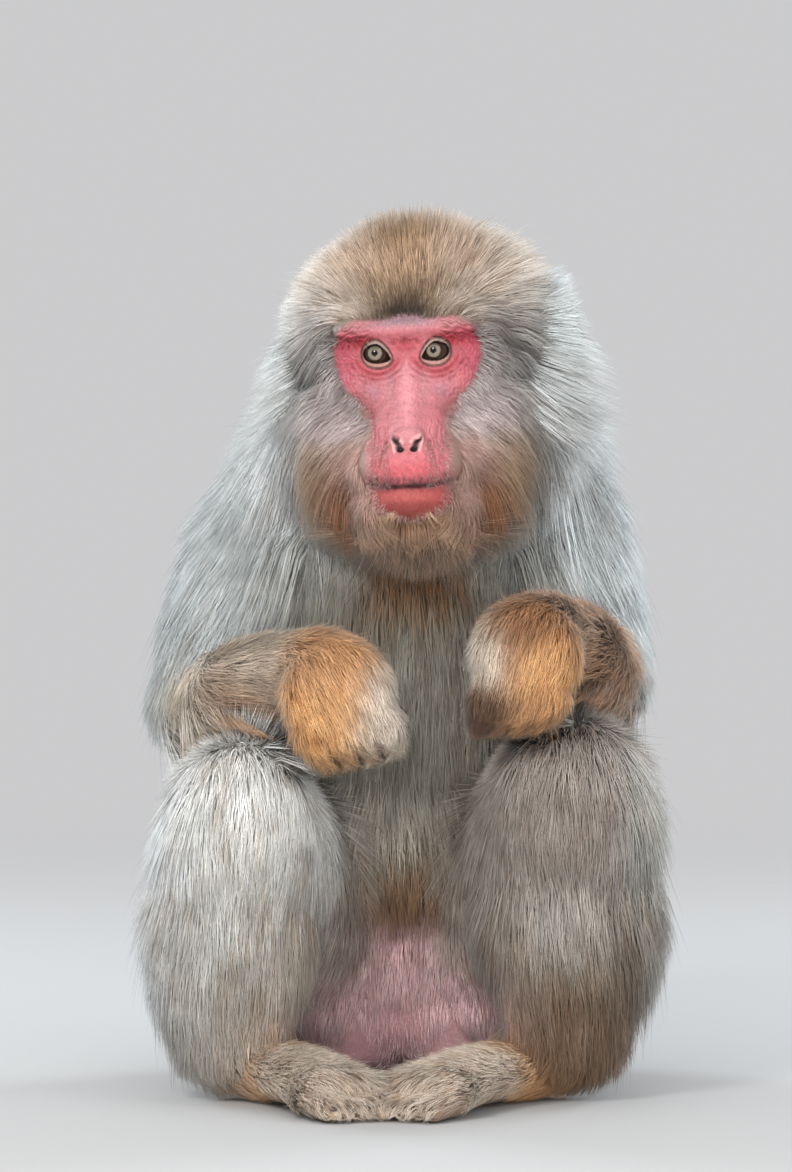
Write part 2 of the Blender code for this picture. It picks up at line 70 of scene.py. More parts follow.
boxes = {node: tuple(np.array(corner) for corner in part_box(node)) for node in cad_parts}
print("solids", len(boxes), "size in mm", np.round((solid_high - solid_low) * 1000, 1))

# %% [markdown]
# ## Small helpers
#
# Every piece below is made in the same steps: a mesh from code, an object that holds it, and a material whose
# shader is fed by a few nodes. These short functions keep the steps out of the way. A value that is the same
# all over a surface is set straight on the shader's own socket; only what varies comes through a node.

# %% Objects, meshes and materials
def new_object(name, data):
    made = bpy.data.objects.new(name, data)
    bpy.context.scene.collection.objects.link(made)
    return made


def mesh_from(name, bm):
    """Turns a bmesh into a mesh, and frees it."""
    mesh = bpy.data.meshes.new(name)
    bm.to_mesh(mesh)
    bm.free()
    return mesh


def set_sockets(node, values):
    for socket, value in values.items():
        node.inputs[socket].default_value = value


def new_material(name, values):
    """A material, its node tree and its shader, with values set on the shader's sockets."""
    made = bpy.data.materials.new(name)
    made.use_nodes = True
    shader = made.node_tree.nodes["Principled BSDF"]
    set_sockets(shader, values)
    return made, made.node_tree, shader


def add_node(tree, kind, values={}, **settings):
    """A new node, with its settings and its sockets' values."""
    made = tree.nodes.new("ShaderNode" + kind)
    for setting, value in settings.items():
        setattr(made, setting, value)
    set_sockets(made, values)
    return made


def link(tree, *steps):
    """Links nodes; a step is a node, its output, the node it leads to, and that one's socket."""
    for node, output, other, socket in steps:
        tree.links.new(node.outputs[output], other.inputs[socket])


# %% [markdown]
# ## Camera, floor and light
#
# A long lens from far away flattens the animal, as in wildlife portraits, so the camera stands five metres
# off, a little above the animal's middle. A key lamp in front on the animal's right models the face. Two
# larger lamps, one low in front and one on the other side, soften its shadows, and leave no mirror image in
# the wet eyes. A weak lamp overhead lights the crown, and two cooler ones behind draw a pale edge round the
# coat, which is what makes fur look deep. The floor is one plain pale disc that fades into the pale
# surroundings.

# %% Camera
SCENE_HEIGHT = 0.703         # what the frame's long side takes in, at the animal
CAMERA_FAR = 5.0
CAMERA_LIFT = math.radians(3)
aim = Vector((-0.004, -0.06, 0.308))
camera_data = bpy.data.cameras.new("camera")
camera_data.sensor_width = 36
camera_data.lens = camera_data.sensor_width * CAMERA_FAR / SCENE_HEIGHT
camera_data.clip_end = 30
camera = new_object("camera", camera_data)
camera.location = aim + CAMERA_FAR * Vector((0, -math.cos(CAMERA_LIFT), math.sin(CAMERA_LIFT)))
camera.rotation_euler = (aim - camera.location).to_track_quat("-Z", "Y").to_euler()
bpy.context.scene.camera = camera
print("lens in mm", round(camera_data.lens))

# %% Lamps and surroundings
LAMP_AIM = Vector((0, 0, 0.28))
WARM, NEUTRAL, COOL = (1.0, 0.99, 0.97), (1.0, 1.0, 1.0), (0.88, 0.95, 1.0)
LAMPS = {                    # place, size across, watts, colour
    "key": ((-0.9, -2.1, 1.5), 0.8, 40, WARM),
    "low fill": ((0.0, -2.3, 0.45), 1.6, 42, WARM),
    "fill": ((1.9, -1.5, 0.9), 1.4, 15, (0.97, 0.99, 1.0)),
    "top": ((0.1, -0.2, 2.0), 1.0, 6, NEUTRAL),
    "rim left": ((1.5, 1.3, 0.9), 0.8, 30, COOL),
    "rim right": ((-1.5, 1.3, 0.9), 0.8, 30, COOL),
}
for name, (place, size, watts, colour) in LAMPS.items():
    lamp = bpy.data.lights.new(name, "AREA")
    lamp.shape = "DISK"
    lamp.size, lamp.energy, lamp.color = size, watts, colour
    box = new_object(name, lamp)
    box.location = place
    box.rotation_euler = (LAMP_AIM - box.location).to_track_quat("-Z", "Y").to_euler()
    box.visible_glossy = "fill" not in name      # the fills aren't mirrored in the eyes
world = bpy.data.worlds.new("pale room")
bpy.context.scene.world = world
world.use_nodes = True
set_sockets(world.node_tree.nodes["Background"], {"Color": (0.63, 0.63, 0.64, 1), "Strength": 0.95})
bpy.context.scene.view_settings.view_transform = "Standard"
print("lamps", len(LAMPS))

# %% Floor
FLOOR_RADIUS = 4.0
FADE_FROM, FADE_TO = 0.35, 2.2         # where the floor begins to fade, and where it is gone
bm = bmesh.new()
bmesh.ops.create_circle(bm, cap_ends=True, segments=96, radius=FLOOR_RADIUS)
floor = new_object("floor", mesh_from("floor", bm))
floor_look, tree, shader = new_material("pale floor", {"Base Color": (0.42, 0.42, 0.42, 1), "Roughness": 0.9})
clear, blend = add_node(tree, "BsdfTransparent"), add_node(tree, "MixShader")
place, far = add_node(tree, "NewGeometry"), add_node(tree, "VectorMath", operation="LENGTH")
fade = add_node(tree, "MapRange", {"From Min": FADE_FROM, "From Max": FADE_TO},
                interpolation_type="SMOOTHSTEP")
link(tree, (place, "Position", far, 0), (far, "Value", fade, "Value"), (fade, "Result", blend, "Fac"),
     (shader, "BSDF", blend, 1), (clear, "BSDF", blend, 2),
     (blend, "Shader", tree.nodes["Material Output"], "Surface"))
floor.data.materials.append(floor_look)
print("floor fades out", FADE_TO, "m away")

# %% [markdown]
# ## Places on the body
#
# The solids' boxes say where each joint of the body is. `spot` reads a point as shares of a node's box, so if
# a limb is moved in the source its skin and coat follow. The head has a frame of its own: its middle is
# halfway between the eyes, its first axis runs through both eyes, and a face's own sizes are given there.


# %% Points from the solids
def spot(node, across, along, up):
    low, high = boxes[node]
    return low + (high - low) * np.array((across, along, up))


def middle(node):
    return spot(node, 0.5, 0.5, 0.5)


def one_long(vector):
    """The same direction, with a length of one."""
    return vector / np.linalg.norm(vector)


between_eyes = (middle("eye_left") + middle("eye_right")) / 2
eye_line = middle("eye_left") - middle("eye_right")
EYE_SPACING = float(np.linalg.norm(eye_line))
EYE_RADIUS = float((boxes["eye_left"][1] - boxes["eye_left"][0])[2] / 2)
head_side = eye_line / EYE_SPACING
head_back = one_long(np.cross((0, 0, 1), head_side))
head_up = np.cross(head_side, head_back)
HEAD_AXES = np.stack((head_side, head_back, head_up))


def to_head(points):
    """Points in the head's own frame: to its left, backwards, upwards."""
    return (points - between_eyes) @ HEAD_AXES.T


def from_head(points):
    return np.asarray(points, float) @ HEAD_AXES + between_eyes


def folded(points):
    """Points of the head with its halves laid on one another: distance to the middle plane, back, up."""
    return np.concatenate((np.abs(points[:, :1]), points[:, 1:]), 1)


print("between the eyes", np.round(between_eyes, 4), "spacing in mm", round(EYE_SPACING * 1000, 1))

# %% [markdown]
# ## The skin as a field
#
# A body is easiest to shape as a distance field: a formula that says how far any point lies outside the
# skin. Each piece of flesh is a stretch between two balls, such as elbow and wrist, and `melt` joins two
# fields with a soft fillet, as flesh does. Later a plain mesh is simply pulled onto the place where the field
# is zero. A field takes fine detail, such as lids and wrinkles, as sums, where a sculpted mesh would need
# thousands of hand-placed points.


# %% Field helpers
def ball(place, radii):
    """A place and three radii; a single radius stands for all three."""
    return np.asarray(place, float), np.array((radii,) * 3 if np.isscalar(radii) else radii, float)


def on(part, direction):
    """The point of a ball's surface in one direction."""
    place, radii = part
    return place + radii * np.array(direction)


def stretch(points, start, end):
    """How far points lie outside the skin stretched between two balls; below zero inside."""
    (a, a_radii), (b, b_radii) = start, end
    axis = b - a
    share = np.clip((points - a) @ axis / max(float(axis @ axis), 1e-12), 0, 1)[:, None]
    gap = points - a - share * axis
    radii = a_radii + share * (b_radii - a_radii)
    near = np.linalg.norm(gap / radii, axis=1)
    steep = np.linalg.norm(gap / radii**2, axis=1)
    return near * (near - 1) / np.maximum(steep, 1e-9)


def melt(one, other, width):
    """Joins two fields with a fillet about as wide as width."""
    mix = np.clip(0.5 + 0.5 * (other - one) / width, 0, 1)
    return other * (1 - mix) + one * mix - width * mix * (1 - mix)


def carve(body, cutter, width):
    """Takes one field out of another, with a rounded edge."""
    return -melt(-body, cutter, width)


def hump(distance, width):
    """1 on a line, falling smoothly to 0 about width away from it."""
    return np.exp(-((distance / width) ** 2))


def ramp(value, low, high):
    """0 below low, 1 above high, smooth between. Low may be the larger, to run down."""
    t = np.clip((value - low) / (high - low), 0, 1)
    return t * t * (3 - 2 * t)


# %% Flesh of the trunk
SIDES = ("right", "left")
WIDE = {"right": -1, "left": 1}
rump = ball(spot("rump", 0.5, 0.55, 0.60), (0.078, 0.060, 0.062))
loin = ball(spot("abdomen", 0.49, 0.58, 0.43), (0.074, 0.064, 0.080))
ribs = ball(spot("chest", 0.47, 0.53, 0.32), (0.080, 0.072, 0.080))
breast = ball(spot("chest", 0.49, 0.29, 0.60), (0.048, 0.034, 0.046))
belly = ball(spot("abdomen", 0.49, 0.30, 0.32), (0.050, 0.034, 0.052))
withers = ball(spot("neck", 0.49, 0.55, 0.46), (0.074, 0.046, 0.042))
neck_top = ball(from_head((0.003, 0.050, -0.040)), (0.050, 0.046, 0.040))
tail_root = ball(spot("tail", 0.5, 0.18, 0.74), 0.012)
tail_tip = ball(spot("tail", 0.5, 0.80, 0.24), 0.008)
flesh = [
    ("rump", rump, loin),
    ("abdomen", loin, ribs),
    ("abdomen", belly, rump),
    ("chest", ribs, withers),
    ("chest", breast, ribs),
    ("neck", withers, neck_top),
    ("tail", tail_root, tail_tip),
]
print("stretches in the trunk", len(flesh))

# %% An arm and its hand
DIGITS = 4
FINGER, FINGER_END, TOE, TOE_END = 0.0078, 0.0062, 0.0072, 0.0058        # radii
nail_places = []


def limb_spot(node, across, along, up):
    """A spot given for the right limb; on the left limb it is mirrored."""
    return spot(node, across if node.endswith("right") else 1 - across, along, up)


def arm(side):
    """Adds the flesh from shoulder to fingertips, and returns the arm's places by name."""
    wide = WIDE[side]
    upper, lower, hand = "upper_arm_" + side, "forearm_" + side, "hand_" + side
    shoulder = ball(limb_spot(upper, 0.58, 0.48, 0.66), 0.036)
    elbow = ball(limb_spot(upper, 0.31, 0.26, 0.20), (0.021, 0.023, 0.021))
    wrist = ball(limb_spot(lower, 0.81, 0.06, 0.79), (0.0140, 0.0130, 0.0130))
    mid_forearm = ball((elbow[0] + wrist[0]) / 2 + (wide * 0.002, -0.004, 0), 0.0185)
    palm = ball(limb_spot(hand, 0.46, 0.50, 0.57), (0.026, 0.0125, 0.026))
    outer = limb_spot(hand, 0.30, 0.34, 0.31)
    inner = limb_spot(hand, 0.78, 0.32, 0.38 if side == "right" else 0.28)
    flesh.extend([(upper, withers, shoulder), (upper, shoulder, elbow), (lower, elbow, mid_forearm),
                  (lower, mid_forearm, wrist), (hand, wrist, palm)])
    for digit in range(DIGITS):
        share = digit / (DIGITS - 1)
        knuckle = ball(outer + (inner - outer) * share, FINGER)
        curl = ball(knuckle[0] + (-wide * 0.004, 0.013, -0.013), FINGER_END)
        flesh.extend([(hand, palm, knuckle), (hand, knuckle, curl)])
        nail_places.append(("hand", knuckle[0], curl[0], FINGER_END))
    return {"shoulder": shoulder, "elbow": elbow, "mid_forearm": mid_forearm, "wrist": wrist, "palm": palm,
            "outer_knuckle": ball(outer + (0, -0.004, 0), 0.0),
            "inner_knuckle": ball(inner + (0, -0.004, 0), 0.0),
            "along_upper_arm": one_long(elbow[0] - shoulder[0]),
            "along_forearm": one_long(wrist[0] - elbow[0]),
            "along_hand": one_long((outer + inner) / 2 - wrist[0])}


# %% A leg and its foot
def leg(side):
    """Adds the flesh from hip to toes and the seat under it, and returns the leg's places by name."""
    thigh, shin, foot = "thigh_" + side, "shin_" + side, "foot_" + side
    hip = ball(limb_spot(thigh, 0.66, 0.72, 0.35), (0.042, 0.052, 0.056))
    knee = ball(limb_spot(thigh, 0.36, 0.145, 0.77), (0.030, 0.028, 0.030))
    calf = ball(limb_spot(shin, 0.52, 0.42, 0.51), (0.035, 0.033, 0.040))
    ankle = ball(limb_spot(shin, 0.54, 0.46, 0.17), (0.020, 0.021, 0.020))
    heel = ball(limb_spot(foot, 0.21, 0.86, 0.30), (0.017, 0.019, 0.0135))
    sole = ball(limb_spot(foot, 0.66, 0.28, 0.26), (0.020, 0.016, 0.0110))
    flesh.extend([(thigh, rump, hip), (thigh, hip, knee), (shin, knee, calf), (shin, calf, ankle),
                  (foot, ankle, heel), (foot, heel, sole)])
    ahead = one_long((sole[0] - heel[0]) * (1, 1, 0))
    across = np.array((ahead[1], -ahead[0], 0))
    for digit in range(DIGITS):
        start = sole[0] + across * 0.0115 * (digit - 1.5) + ahead * 0.006
        root = ball(start * (1, 1, 0) + (0, 0, 0.0095), TOE)
        tip = ball(root[0] + ahead * (0.024, 0.024, 0) - (0, 0, 0.0030), TOE_END)
        flesh.extend([(foot, sole, root), (foot, root, tip)])
        nail_places.append(("foot", root[0], tip[0], TOE_END))
    seat = ball(spot("seat_pad_" + side, 0.5, 0.5, 0.62), (0.026, 0.032, 0.018))
    buttock = ball(seat[0] + (0, 0, 0.030), (0.040, 0.044, 0.036))
    flesh.extend([("rump", buttock, rump), ("rump", seat, buttock)])
    return {"hip": hip, "knee": knee, "calf": calf, "ankle": ankle, "heel": heel, "sole": sole, "seat": seat,
            "instep": ball((heel[0] + sole[0]) / 2 + (0, 0, 0.012), 0.0),
            "toes": ball(on(sole, (0, 0, 0.6)) + 0.03 * ahead, 0.0),
            "along_thigh": one_long(knee[0] - hip[0]), "along_foot": ahead}


# %% Both sides, and the places by name
PLACES = {side: {**arm(side), **leg(side)} for side in SIDES}
TRUNK = {"rump": rump, "loin": loin, "ribs": ribs, "breast": breast, "belly": belly, "withers": withers,
         "neck_top": neck_top, "tail_root": tail_root, "tail_tip": tail_tip,
         "along_tail": tail_tip[0] - tail_root[0]}
print("stretches of flesh", len(flesh), "places on each side", len(PLACES["left"]))

# %% [markdown]
# ## The bare face
#
# The macaque's face is bare, red and wrinkled, inside a mask-shaped edge of hair. Under it lie the brow
# ridge, the cheekbones, a long flat nose with slit nostrils, and a rounded muzzle over a small chin. Both
# halves are alike, so the field is written once for the distance to the middle plane. Lids are the skin
# drawn over each eyeball, with an almond cut out of it; creases are shallow grooves added to the field.

# %% Forms of the head, in its own frame
EYE = np.array((EYE_SPACING / 2, 0, 0))
SKULL = ball((0.002, 0.052, 0.012), (0.058, 0.060, 0.048))
UPPER_FACE = ball((0, 0.022, 0), (0.050, 0.032, 0.026))
JAW_HINGE = ball((0, 0.040, -0.050), (0.043, 0.040, 0.032))
CHEEK_PAD = ball((0.0300, 0.032, -0.030), (0.020, 0.028, 0.028))
JOWL = ball((0.0240, 0.020, -0.070), (0.018, 0.024, 0.022))
BROW_MIDDLE = ball((0, 0.0050, 0.0130), (0.0150, 0.0175, 0.0080))
BROW_END = ball((0.0290, 0.0055, 0.0145), (0.0165, 0.0175, 0.0080))
CHEEKBONE = ball((0.0280, 0.0105, -0.0165), (0.0145, 0.0180, 0.0125))
NOSE_ROOT = ball((0, 0.0045, -0.004), (0.0085, 0.0100, 0.010))
NOSE_TIP = ball((0, -0.0300, -0.0490), (0.0078, 0.0125, 0.0068))
SNOUT_TOP = ball((0, 0.0010, -0.030), (0.0185, 0.0210, 0.016))
LIPS = ball((0, -0.0172, -0.0665), (0.0290, 0.0285, 0.0150))
CHIN = ball((0, -0.0095, -0.0860), (0.0268, 0.0245, 0.0140))
LOWER_LIP = ball((0, -0.0172, -0.0855), (0.0225, 0.0225, 0.0085))
NOSE_WING = ball((0.0060, -0.0352, -0.0490), (0.0038, 0.0072, 0.0036))
NOSTRIL = (ball((0.0074, -0.0402, -0.0510), 0.0008), ball((0.0040, -0.0435, -0.0560), 0.0018))
MOUTH_HEIGHT, MOUTH_HALF = -0.0785, 0.0255
LID_RADIUS = EYE_RADIUS + 0.0012
OPENING = (0.0078, 0.0054, 1.45, 2.1)        # half width, half height, and the powers of its two ends
CREASE = (0.0093, 0.0086, 1.70, 2.1)
EAR = ball((0.0800, 0.068, 0.002), (0.0045, 0.0125, 0.0185))
EAR_HOLLOW = ball((0.0870, 0.062, 0.002), (0.0045, 0.0085, 0.0130))
EAR_ROOT = ball((0.0480, 0.066, -0.004), (0.018, 0.018, 0.024))
HEAD_SHIFT = 0.011           # the ears stand even on the coat's middle, which lies this far to the left
print("eyes in mm across", round(EYE_RADIUS * 2000, 1), "lids in mm across", round(OPENING[0] * 2000, 1))


# %% The eye's opening
def almond(side, up, half, rise, sharp, blunt):
    """Distance outside a drop shape round the eye, in the plane of the face; its sharp inner corner dips."""
    inward = EYE[0] - side
    t = inward / half
    sag = -0.0030 * np.clip(t, 0, 1.3) ** 1.5
    power = np.where(inward > 0, sharp, blunt)
    reach = (np.abs(t) ** power + np.abs((up - sag) / rise) ** power) ** (1 / power)
    return np.hypot(inward, up - sag) * (1 - 1 / np.maximum(reach, 1e-6))


def eye_opening(side, up):
    return almond(side, up, *OPENING)


def lid_crease(side, up):
    """Distance to the drop-shaped crease round both lids."""
    return almond(side, up + 0.0003, *CREASE)


# %% The outline of the bare mask, from the middle of its top edge round to the chin
MASK_EDGE = ((0, 0.0225), (0.0060, 0.0215), (0.0140, 0.0192), (0.0285, 0.0190), (0.0380, 0.0140),
             (0.0425, 0.0050), (0.0430, -0.0040), (0.0398, -0.0155), (0.0285, -0.0285), (0.0225, -0.0430),
             (0.0228, -0.0600), (0.0232, -0.0780), (0.0205, -0.0900), (0.0130, -0.0985), (0, -0.1015))

def mask_inside(points):
    """How far points lie inside the bare mask, seen from the front; below zero outside."""
    edge = np.array(MASK_EDGE)
    flat = np.stack((np.abs(points[:, 0]), points[:, 2]), 1)
    nearest = np.full(len(flat), 1.0)
    crossings = np.zeros(len(flat), int)
    for a, b in zip(edge[:-1], edge[1:]):
        run = b - a
        share = np.clip((flat - a) @ run / (run @ run), 0, 1)[:, None]
        nearest = np.minimum(nearest, np.linalg.norm(flat - a - share * run, axis=1))
        low, high = sorted((a[1], b[1]))
        if high > low:
            level = (flat[:, 1] >= low) & (flat[:, 1] < high)
            across = a[0] + (flat[:, 1] - a[1]) / (b[1] - a[1]) * run[0]
            crossings += level & (flat[:, 0] < across)
    return np.where(crossings % 2 == 1, nearest, -nearest)


# %% Creases and folds of the face
def mouth_height(side):
    """The height of the mouth's line, which rises towards its corners."""
    return MOUTH_HEIGHT + 8.8 * np.maximum(side - 0.008, 0) ** 2


def ripples(across, spacing):
    """Even waves between 0 and 2, one each spacing."""
    return 1 + np.sin(across * 2 * np.pi / spacing)


def creases(side, back, up):
    """Grooves and folds of the face, as how far the skin sinks in."""
    front = ramp(back, 0.030, 0.018)
    sink = 0.0009 * hump(lid_crease(side, up), 0.0006)
    ring = np.hypot((side - EYE[0]) / 1.15, up)
    below = ramp(up, -0.002, -0.007)
    sink += below * (0.0010 * hump(ring - 0.0122, 0.0008) + 0.0008 * hump(ring - 0.0150, 0.0009)
                     + 0.0005 * hump(ring - 0.0180, 0.0010))
    wander = 0.0007 * np.sin(side * 900 + 2 * np.sin(up * 500)) + 0.0005 * np.sin(side * 410 + up * 620)
    outer_brow = ramp(side, 0.016, 0.027) * ramp(up, 0.021, 0.015) * ramp(up, 0.001, 0.006)
    sink += outer_brow * 0.00060 * ripples(up + 0.35 * (side - 0.03) + wander, 0.0026)
    crow = ramp(side, 0.0275, 0.031) * ramp(np.abs(up + 0.002), 0.010, 0.004)
    sink += crow * 0.00030 * ripples(up - 0.5 * (side - 0.03) + wander, 0.0024)
    sink += 0.0011 * hump(up - 0.0065 + wander, 0.0011) * ramp(side, 0.014, 0.007)
    sink += 0.0007 * hump(up - 0.0015 + wander, 0.0009) * ramp(side, 0.009, 0.004)
    cheek = ramp(side, 0.016, 0.022) * ramp(up, -0.008, -0.013) * ramp(up, -0.032, -0.026)
    sink += cheek * 0.00032 * ripples(side * 0.75 - up * 0.65 + 1.5 * wander, 0.0033)
    nose_side = (ramp(side, 0.0100, 0.0130) * ramp(side, 0.0250, 0.0215)
                 * ramp(up, -0.036, -0.046) * ramp(up, -0.072, -0.064))
    sink += nose_side * 0.00042 * ripples(side + 0.12 * up + wander, 0.0027)
    bridge = ramp(side, 0.011, 0.008) * ramp(up, -0.006, -0.012) * ramp(up, -0.046, -0.040)
    sink += bridge * 0.00018 * ripples(side * 0.6 + up + 2 * wander, 0.0030)
    fold = side - (0.0100 + (-0.046 - up) * 0.36)
    sink += 0.0007 * hump(fold, 0.0012) * ramp(up, -0.044, -0.050) * ramp(up, -0.076, -0.070)
    sink += 0.0005 * hump(side, 0.0014) * ramp(up, -0.056, -0.060) * ramp(up, -0.074, -0.070)
    rim = stretch(np.stack((side, back, up), 1), *NOSTRIL)
    sink -= 0.0009 * hump(rim - 0.0018, 0.0012) * ramp(up + 0.9 * (side - 0.0036), -0.0565, -0.0535)
    along_mouth = ramp(side, MOUTH_HALF, MOUTH_HALF - 0.006)
    sink += along_mouth * 0.0026 * hump(up - mouth_height(side), 0.0010)
    return sink * front


# %% The head as one field
HEAD_FORMS = (               # each form's two ends, and how wide a fillet joins it to the rest
    (JAW_HINGE, LIPS, 0.007), (JAW_HINGE, CHIN, 0.006), (CHEEK_PAD, JOWL, 0.008), (SNOUT_TOP, LIPS, 0.010),
    (BROW_MIDDLE, BROW_END, 0.005), (CHEEKBONE, SNOUT_TOP, 0.006), (NOSE_ROOT, SNOUT_TOP, 0.004),
    (NOSE_ROOT, NOSE_TIP, 0.005), (NOSE_WING, NOSE_WING, 0.0028), (LOWER_LIP, LOWER_LIP, 0.0050))
SOCKET = ball(EYE + (0.0005, -0.0185, -0.0010), (0.0130, 0.0085, 0.0105))
LID_BACK = 0.002             # the lids' opening reaches this far behind the eyes' middles
LID_DEPTH = 0.0018           # and this far into each eyeball


def head_field(points):
    both = folded(points)
    side, back, up = both.T
    d = stretch(points, SKULL, UPPER_FACE)
    for start, end, fillet in HEAD_FORMS:
        d = melt(d, stretch(both, start, end), fillet)
    eyeball = np.linalg.norm(both - EYE, axis=1)
    d = carve(d, stretch(both, SOCKET, SOCKET), 0.0050)
    d = melt(d, eyeball - LID_RADIUS, 0.0022)
    d = carve(d, stretch(both, *NOSTRIL), 0.0008)
    opening = np.maximum(eye_opening(side, up), EYE_RADIUS - LID_DEPTH - eyeball)
    opening = np.where(back < LID_BACK, opening, 1.0)
    d = carve(d, np.maximum(opening, (back - LID_BACK)), 0.0007)
    shifted = np.stack((np.abs(points[:, 0] - HEAD_SHIFT), points[:, 1], points[:, 2]), 1)
    ear = carve(stretch(shifted, EAR, EAR), stretch(shifted, EAR_HOLLOW, EAR_HOLLOW), 0.003)
    d = melt(d, melt(ear, stretch(shifted, EAR_ROOT, EAR), 0.004), 0.006)
    return d + creases(side, back, up)


# %% The whole body as one field
FIELD_REACH = 0.030          # a piece of flesh further off than this changes nothing
FLESH_FILLET, HEAD_FILLET = 0.016, 0.012
HEAD_DROP = (0, 0, -0.02)    # from the skull's middle to the head's
HEAD_REACH = 0.14            # the head's field counts this far round its middle


def body_field(points):
    d = np.full(len(points), 2 * FIELD_REACH)
    for node, start, end in flesh:
        reach = np.linalg.norm(end[0] - start[0]) / 2 + max(start[1].max(), end[1].max()) + FIELD_REACH
        near = np.linalg.norm(points - (start[0] + end[0]) / 2, axis=1) < reach
        small = min(start[1].min(), end[1].min())
        d[near] = melt(d[near], stretch(points[near], start, end), min(FLESH_FILLET, small * 0.6))
    return d


def skin_field(points):
    body = body_field(points)
    local = to_head(points)
    near = np.linalg.norm(local - SKULL[0] - HEAD_DROP, axis=1) < HEAD_REACH
    body[near] = melt(body[near], head_field(local[near]), HEAD_FILLET)
    return body


print("forms of the head", 1 + len(HEAD_FORMS), "stretches round it", len(flesh))

# %% [markdown]
# ## From the field to one mesh
#
# First a rough form: the hull round each pair of balls, all joined by a voxel remesh into one closed net of
# even quads. Then the net is made finer where detail needs it, on hands and feet once, on the face three
# times and round the eyes four times, and after each round every point is pulled onto the field.


# %% A rough net
def add_hull(bm, start, end, turn=None):
    part = bmesh.new()
    for place, radii in (start, end):
        matrix = Matrix.Translation(place) @ Matrix.Diagonal((*radii, 1))
        bmesh.ops.create_icosphere(part, subdivisions=3, radius=1, matrix=matrix)
    hull = bmesh.ops.convex_hull(part, input=part.verts)
    spare = {v for v in hull["geom_interior"] + hull["geom_unused"] if isinstance(v, bmesh.types.BMVert)}
    bmesh.ops.delete(part, geom=list(spare), context="VERTS")
    mesh = mesh_from("hull", part)
    if turn is not None:
        mesh.transform(turn)
    bm.from_mesh(mesh)
    bpy.data.meshes.remove(mesh)


def both_sides(one):
    place, radii = one
    return [(place * (wide, 1, 1), radii) for wide in (-1, 1)]


def bake(obj):
    """Swaps an object's modifiers for the mesh that they make."""
    made = bpy.data.meshes.new_from_object(obj.evaluated_get(bpy.context.evaluated_depsgraph_get()))
    obj.modifiers.clear()
    obj.data = made


def one_surface(obj, voxel):
    """A modifier that joins all the shells of a mesh into one closed net."""
    remesh = obj.modifiers.new("One surface", "REMESH")
    remesh.mode = "VOXEL"
    remesh.voxel_size = voxel


VOXEL = 0.005
head_turn = Matrix([[*HEAD_AXES.T[i], between_eyes[i]] for i in range(3)] + [[0, 0, 0, 1]])
bm = bmesh.new()
for node, start, end in flesh:
    add_hull(bm, start, end)
head_pairs = [(SKULL, UPPER_FACE), (JAW_HINGE, LIPS), (JAW_HINGE, CHIN), (SNOUT_TOP, LIPS),
              (NOSE_ROOT, NOSE_TIP), (NOSE_ROOT, SNOUT_TOP)]
for one in (BROW_END, CHEEKBONE):
    head_pairs += [(end, UPPER_FACE) for end in both_sides(one)]
head_pairs += list(zip(both_sides(CHEEK_PAD), both_sides(JOWL)))
for one, end in zip(both_sides(EAR_ROOT), both_sides(EAR)):
    head_pairs.append(tuple((place + (HEAD_SHIFT, 0, 0), radii) for place, radii in (one, end)))
for start, end in head_pairs:
    add_hull(bm, start, end, head_turn)
skin = new_object("skin", mesh_from("skin", bm))
one_surface(skin, VOXEL)
soften = skin.modifiers.new("Soften", "SMOOTH")
soften.factor = 0.5
soften.iterations = 4
bake(skin)
print("rough net", len(skin.data.polygons), "faces")


# %% Pull points onto the field
def mesh_points(mesh):
    flat = np.empty(len(mesh.vertices) * 3, np.float32)
    mesh.vertices.foreach_get("co", flat)
    return flat.reshape(-1, 3).astype(float)


PROBE = 0.00012


def slope(field, points):
    """The field's value and its gradient, from four nearby points."""
    corners = np.array(((1, -1, -1), (-1, -1, 1), (-1, 1, -1), (1, 1, 1)), float)
    values = [field(points + corner * PROBE) for corner in corners]
    gradient = sum(corner * value[:, None] for corner, value in zip(corners, values)) / (4 * PROBE)
    return sum(values) / 4, gradient


def pull(mesh, rounds, most, wanted=None):
    """Moves points straight down or up the field's slope until the field is zero there."""
    every = mesh_points(mesh)
    chosen = np.ones(len(every), bool) if wanted is None else wanted(every)
    points = every[chosen]
    for _ in range(rounds):
        value, gradient = slope(skin_field, points)
        steep = np.maximum((gradient**2).sum(1), 0.15)
        step = -(value / steep)[:, None] * gradient
        length = np.linalg.norm(step, axis=1)[:, None]
        points += step * np.minimum(1, most / np.maximum(length, 1e-9))
    every[chosen] = points
    every[:, 2] = np.maximum(every[:, 2], 0.0)
    mesh.vertices.foreach_set("co", every.astype(np.float32).ravel())
    mesh.update()


def refine(mesh, wanted):
    """Splits each face whose middle is wanted into four."""
    bm = bmesh.new()
    bm.from_mesh(mesh)
    bm.faces.ensure_lookup_table()
    centres = np.array([face.calc_center_median() for face in bm.faces])
    chosen = np.nonzero(wanted(centres))[0]
    edges = {edge for index in chosen for edge in bm.faces[index].edges}
    bmesh.ops.subdivide_edges(bm, edges=list(edges), cuts=1, use_grid_fill=True)
    bmesh.ops.triangulate(bm, faces=[face for face in bm.faces if len(face.verts) > 4])
    bm.to_mesh(mesh)
    bm.free()


def near_face(points):
    local = to_head(points)
    return (mask_inside(local) > -0.0015) & (local[:, 1] < 0.018)


def near_eyes(points):
    local = to_head(points)
    return (np.hypot(np.abs(local[:, 0]) - EYE[0], local[:, 2]) < 0.0125) & (local[:, 1] < 0.004)


def in_nodes(points, names):
    found = np.zeros(len(points), bool)
    for name in names:
        low, high = boxes[name]
        found |= ((points > low) & (points < high)).all(1)
    return found


def near_digits_or_ears(points):
    names = [part + "_" + side for part in ("hand", "foot", "ear") for side in SIDES]
    return in_nodes(points, names)


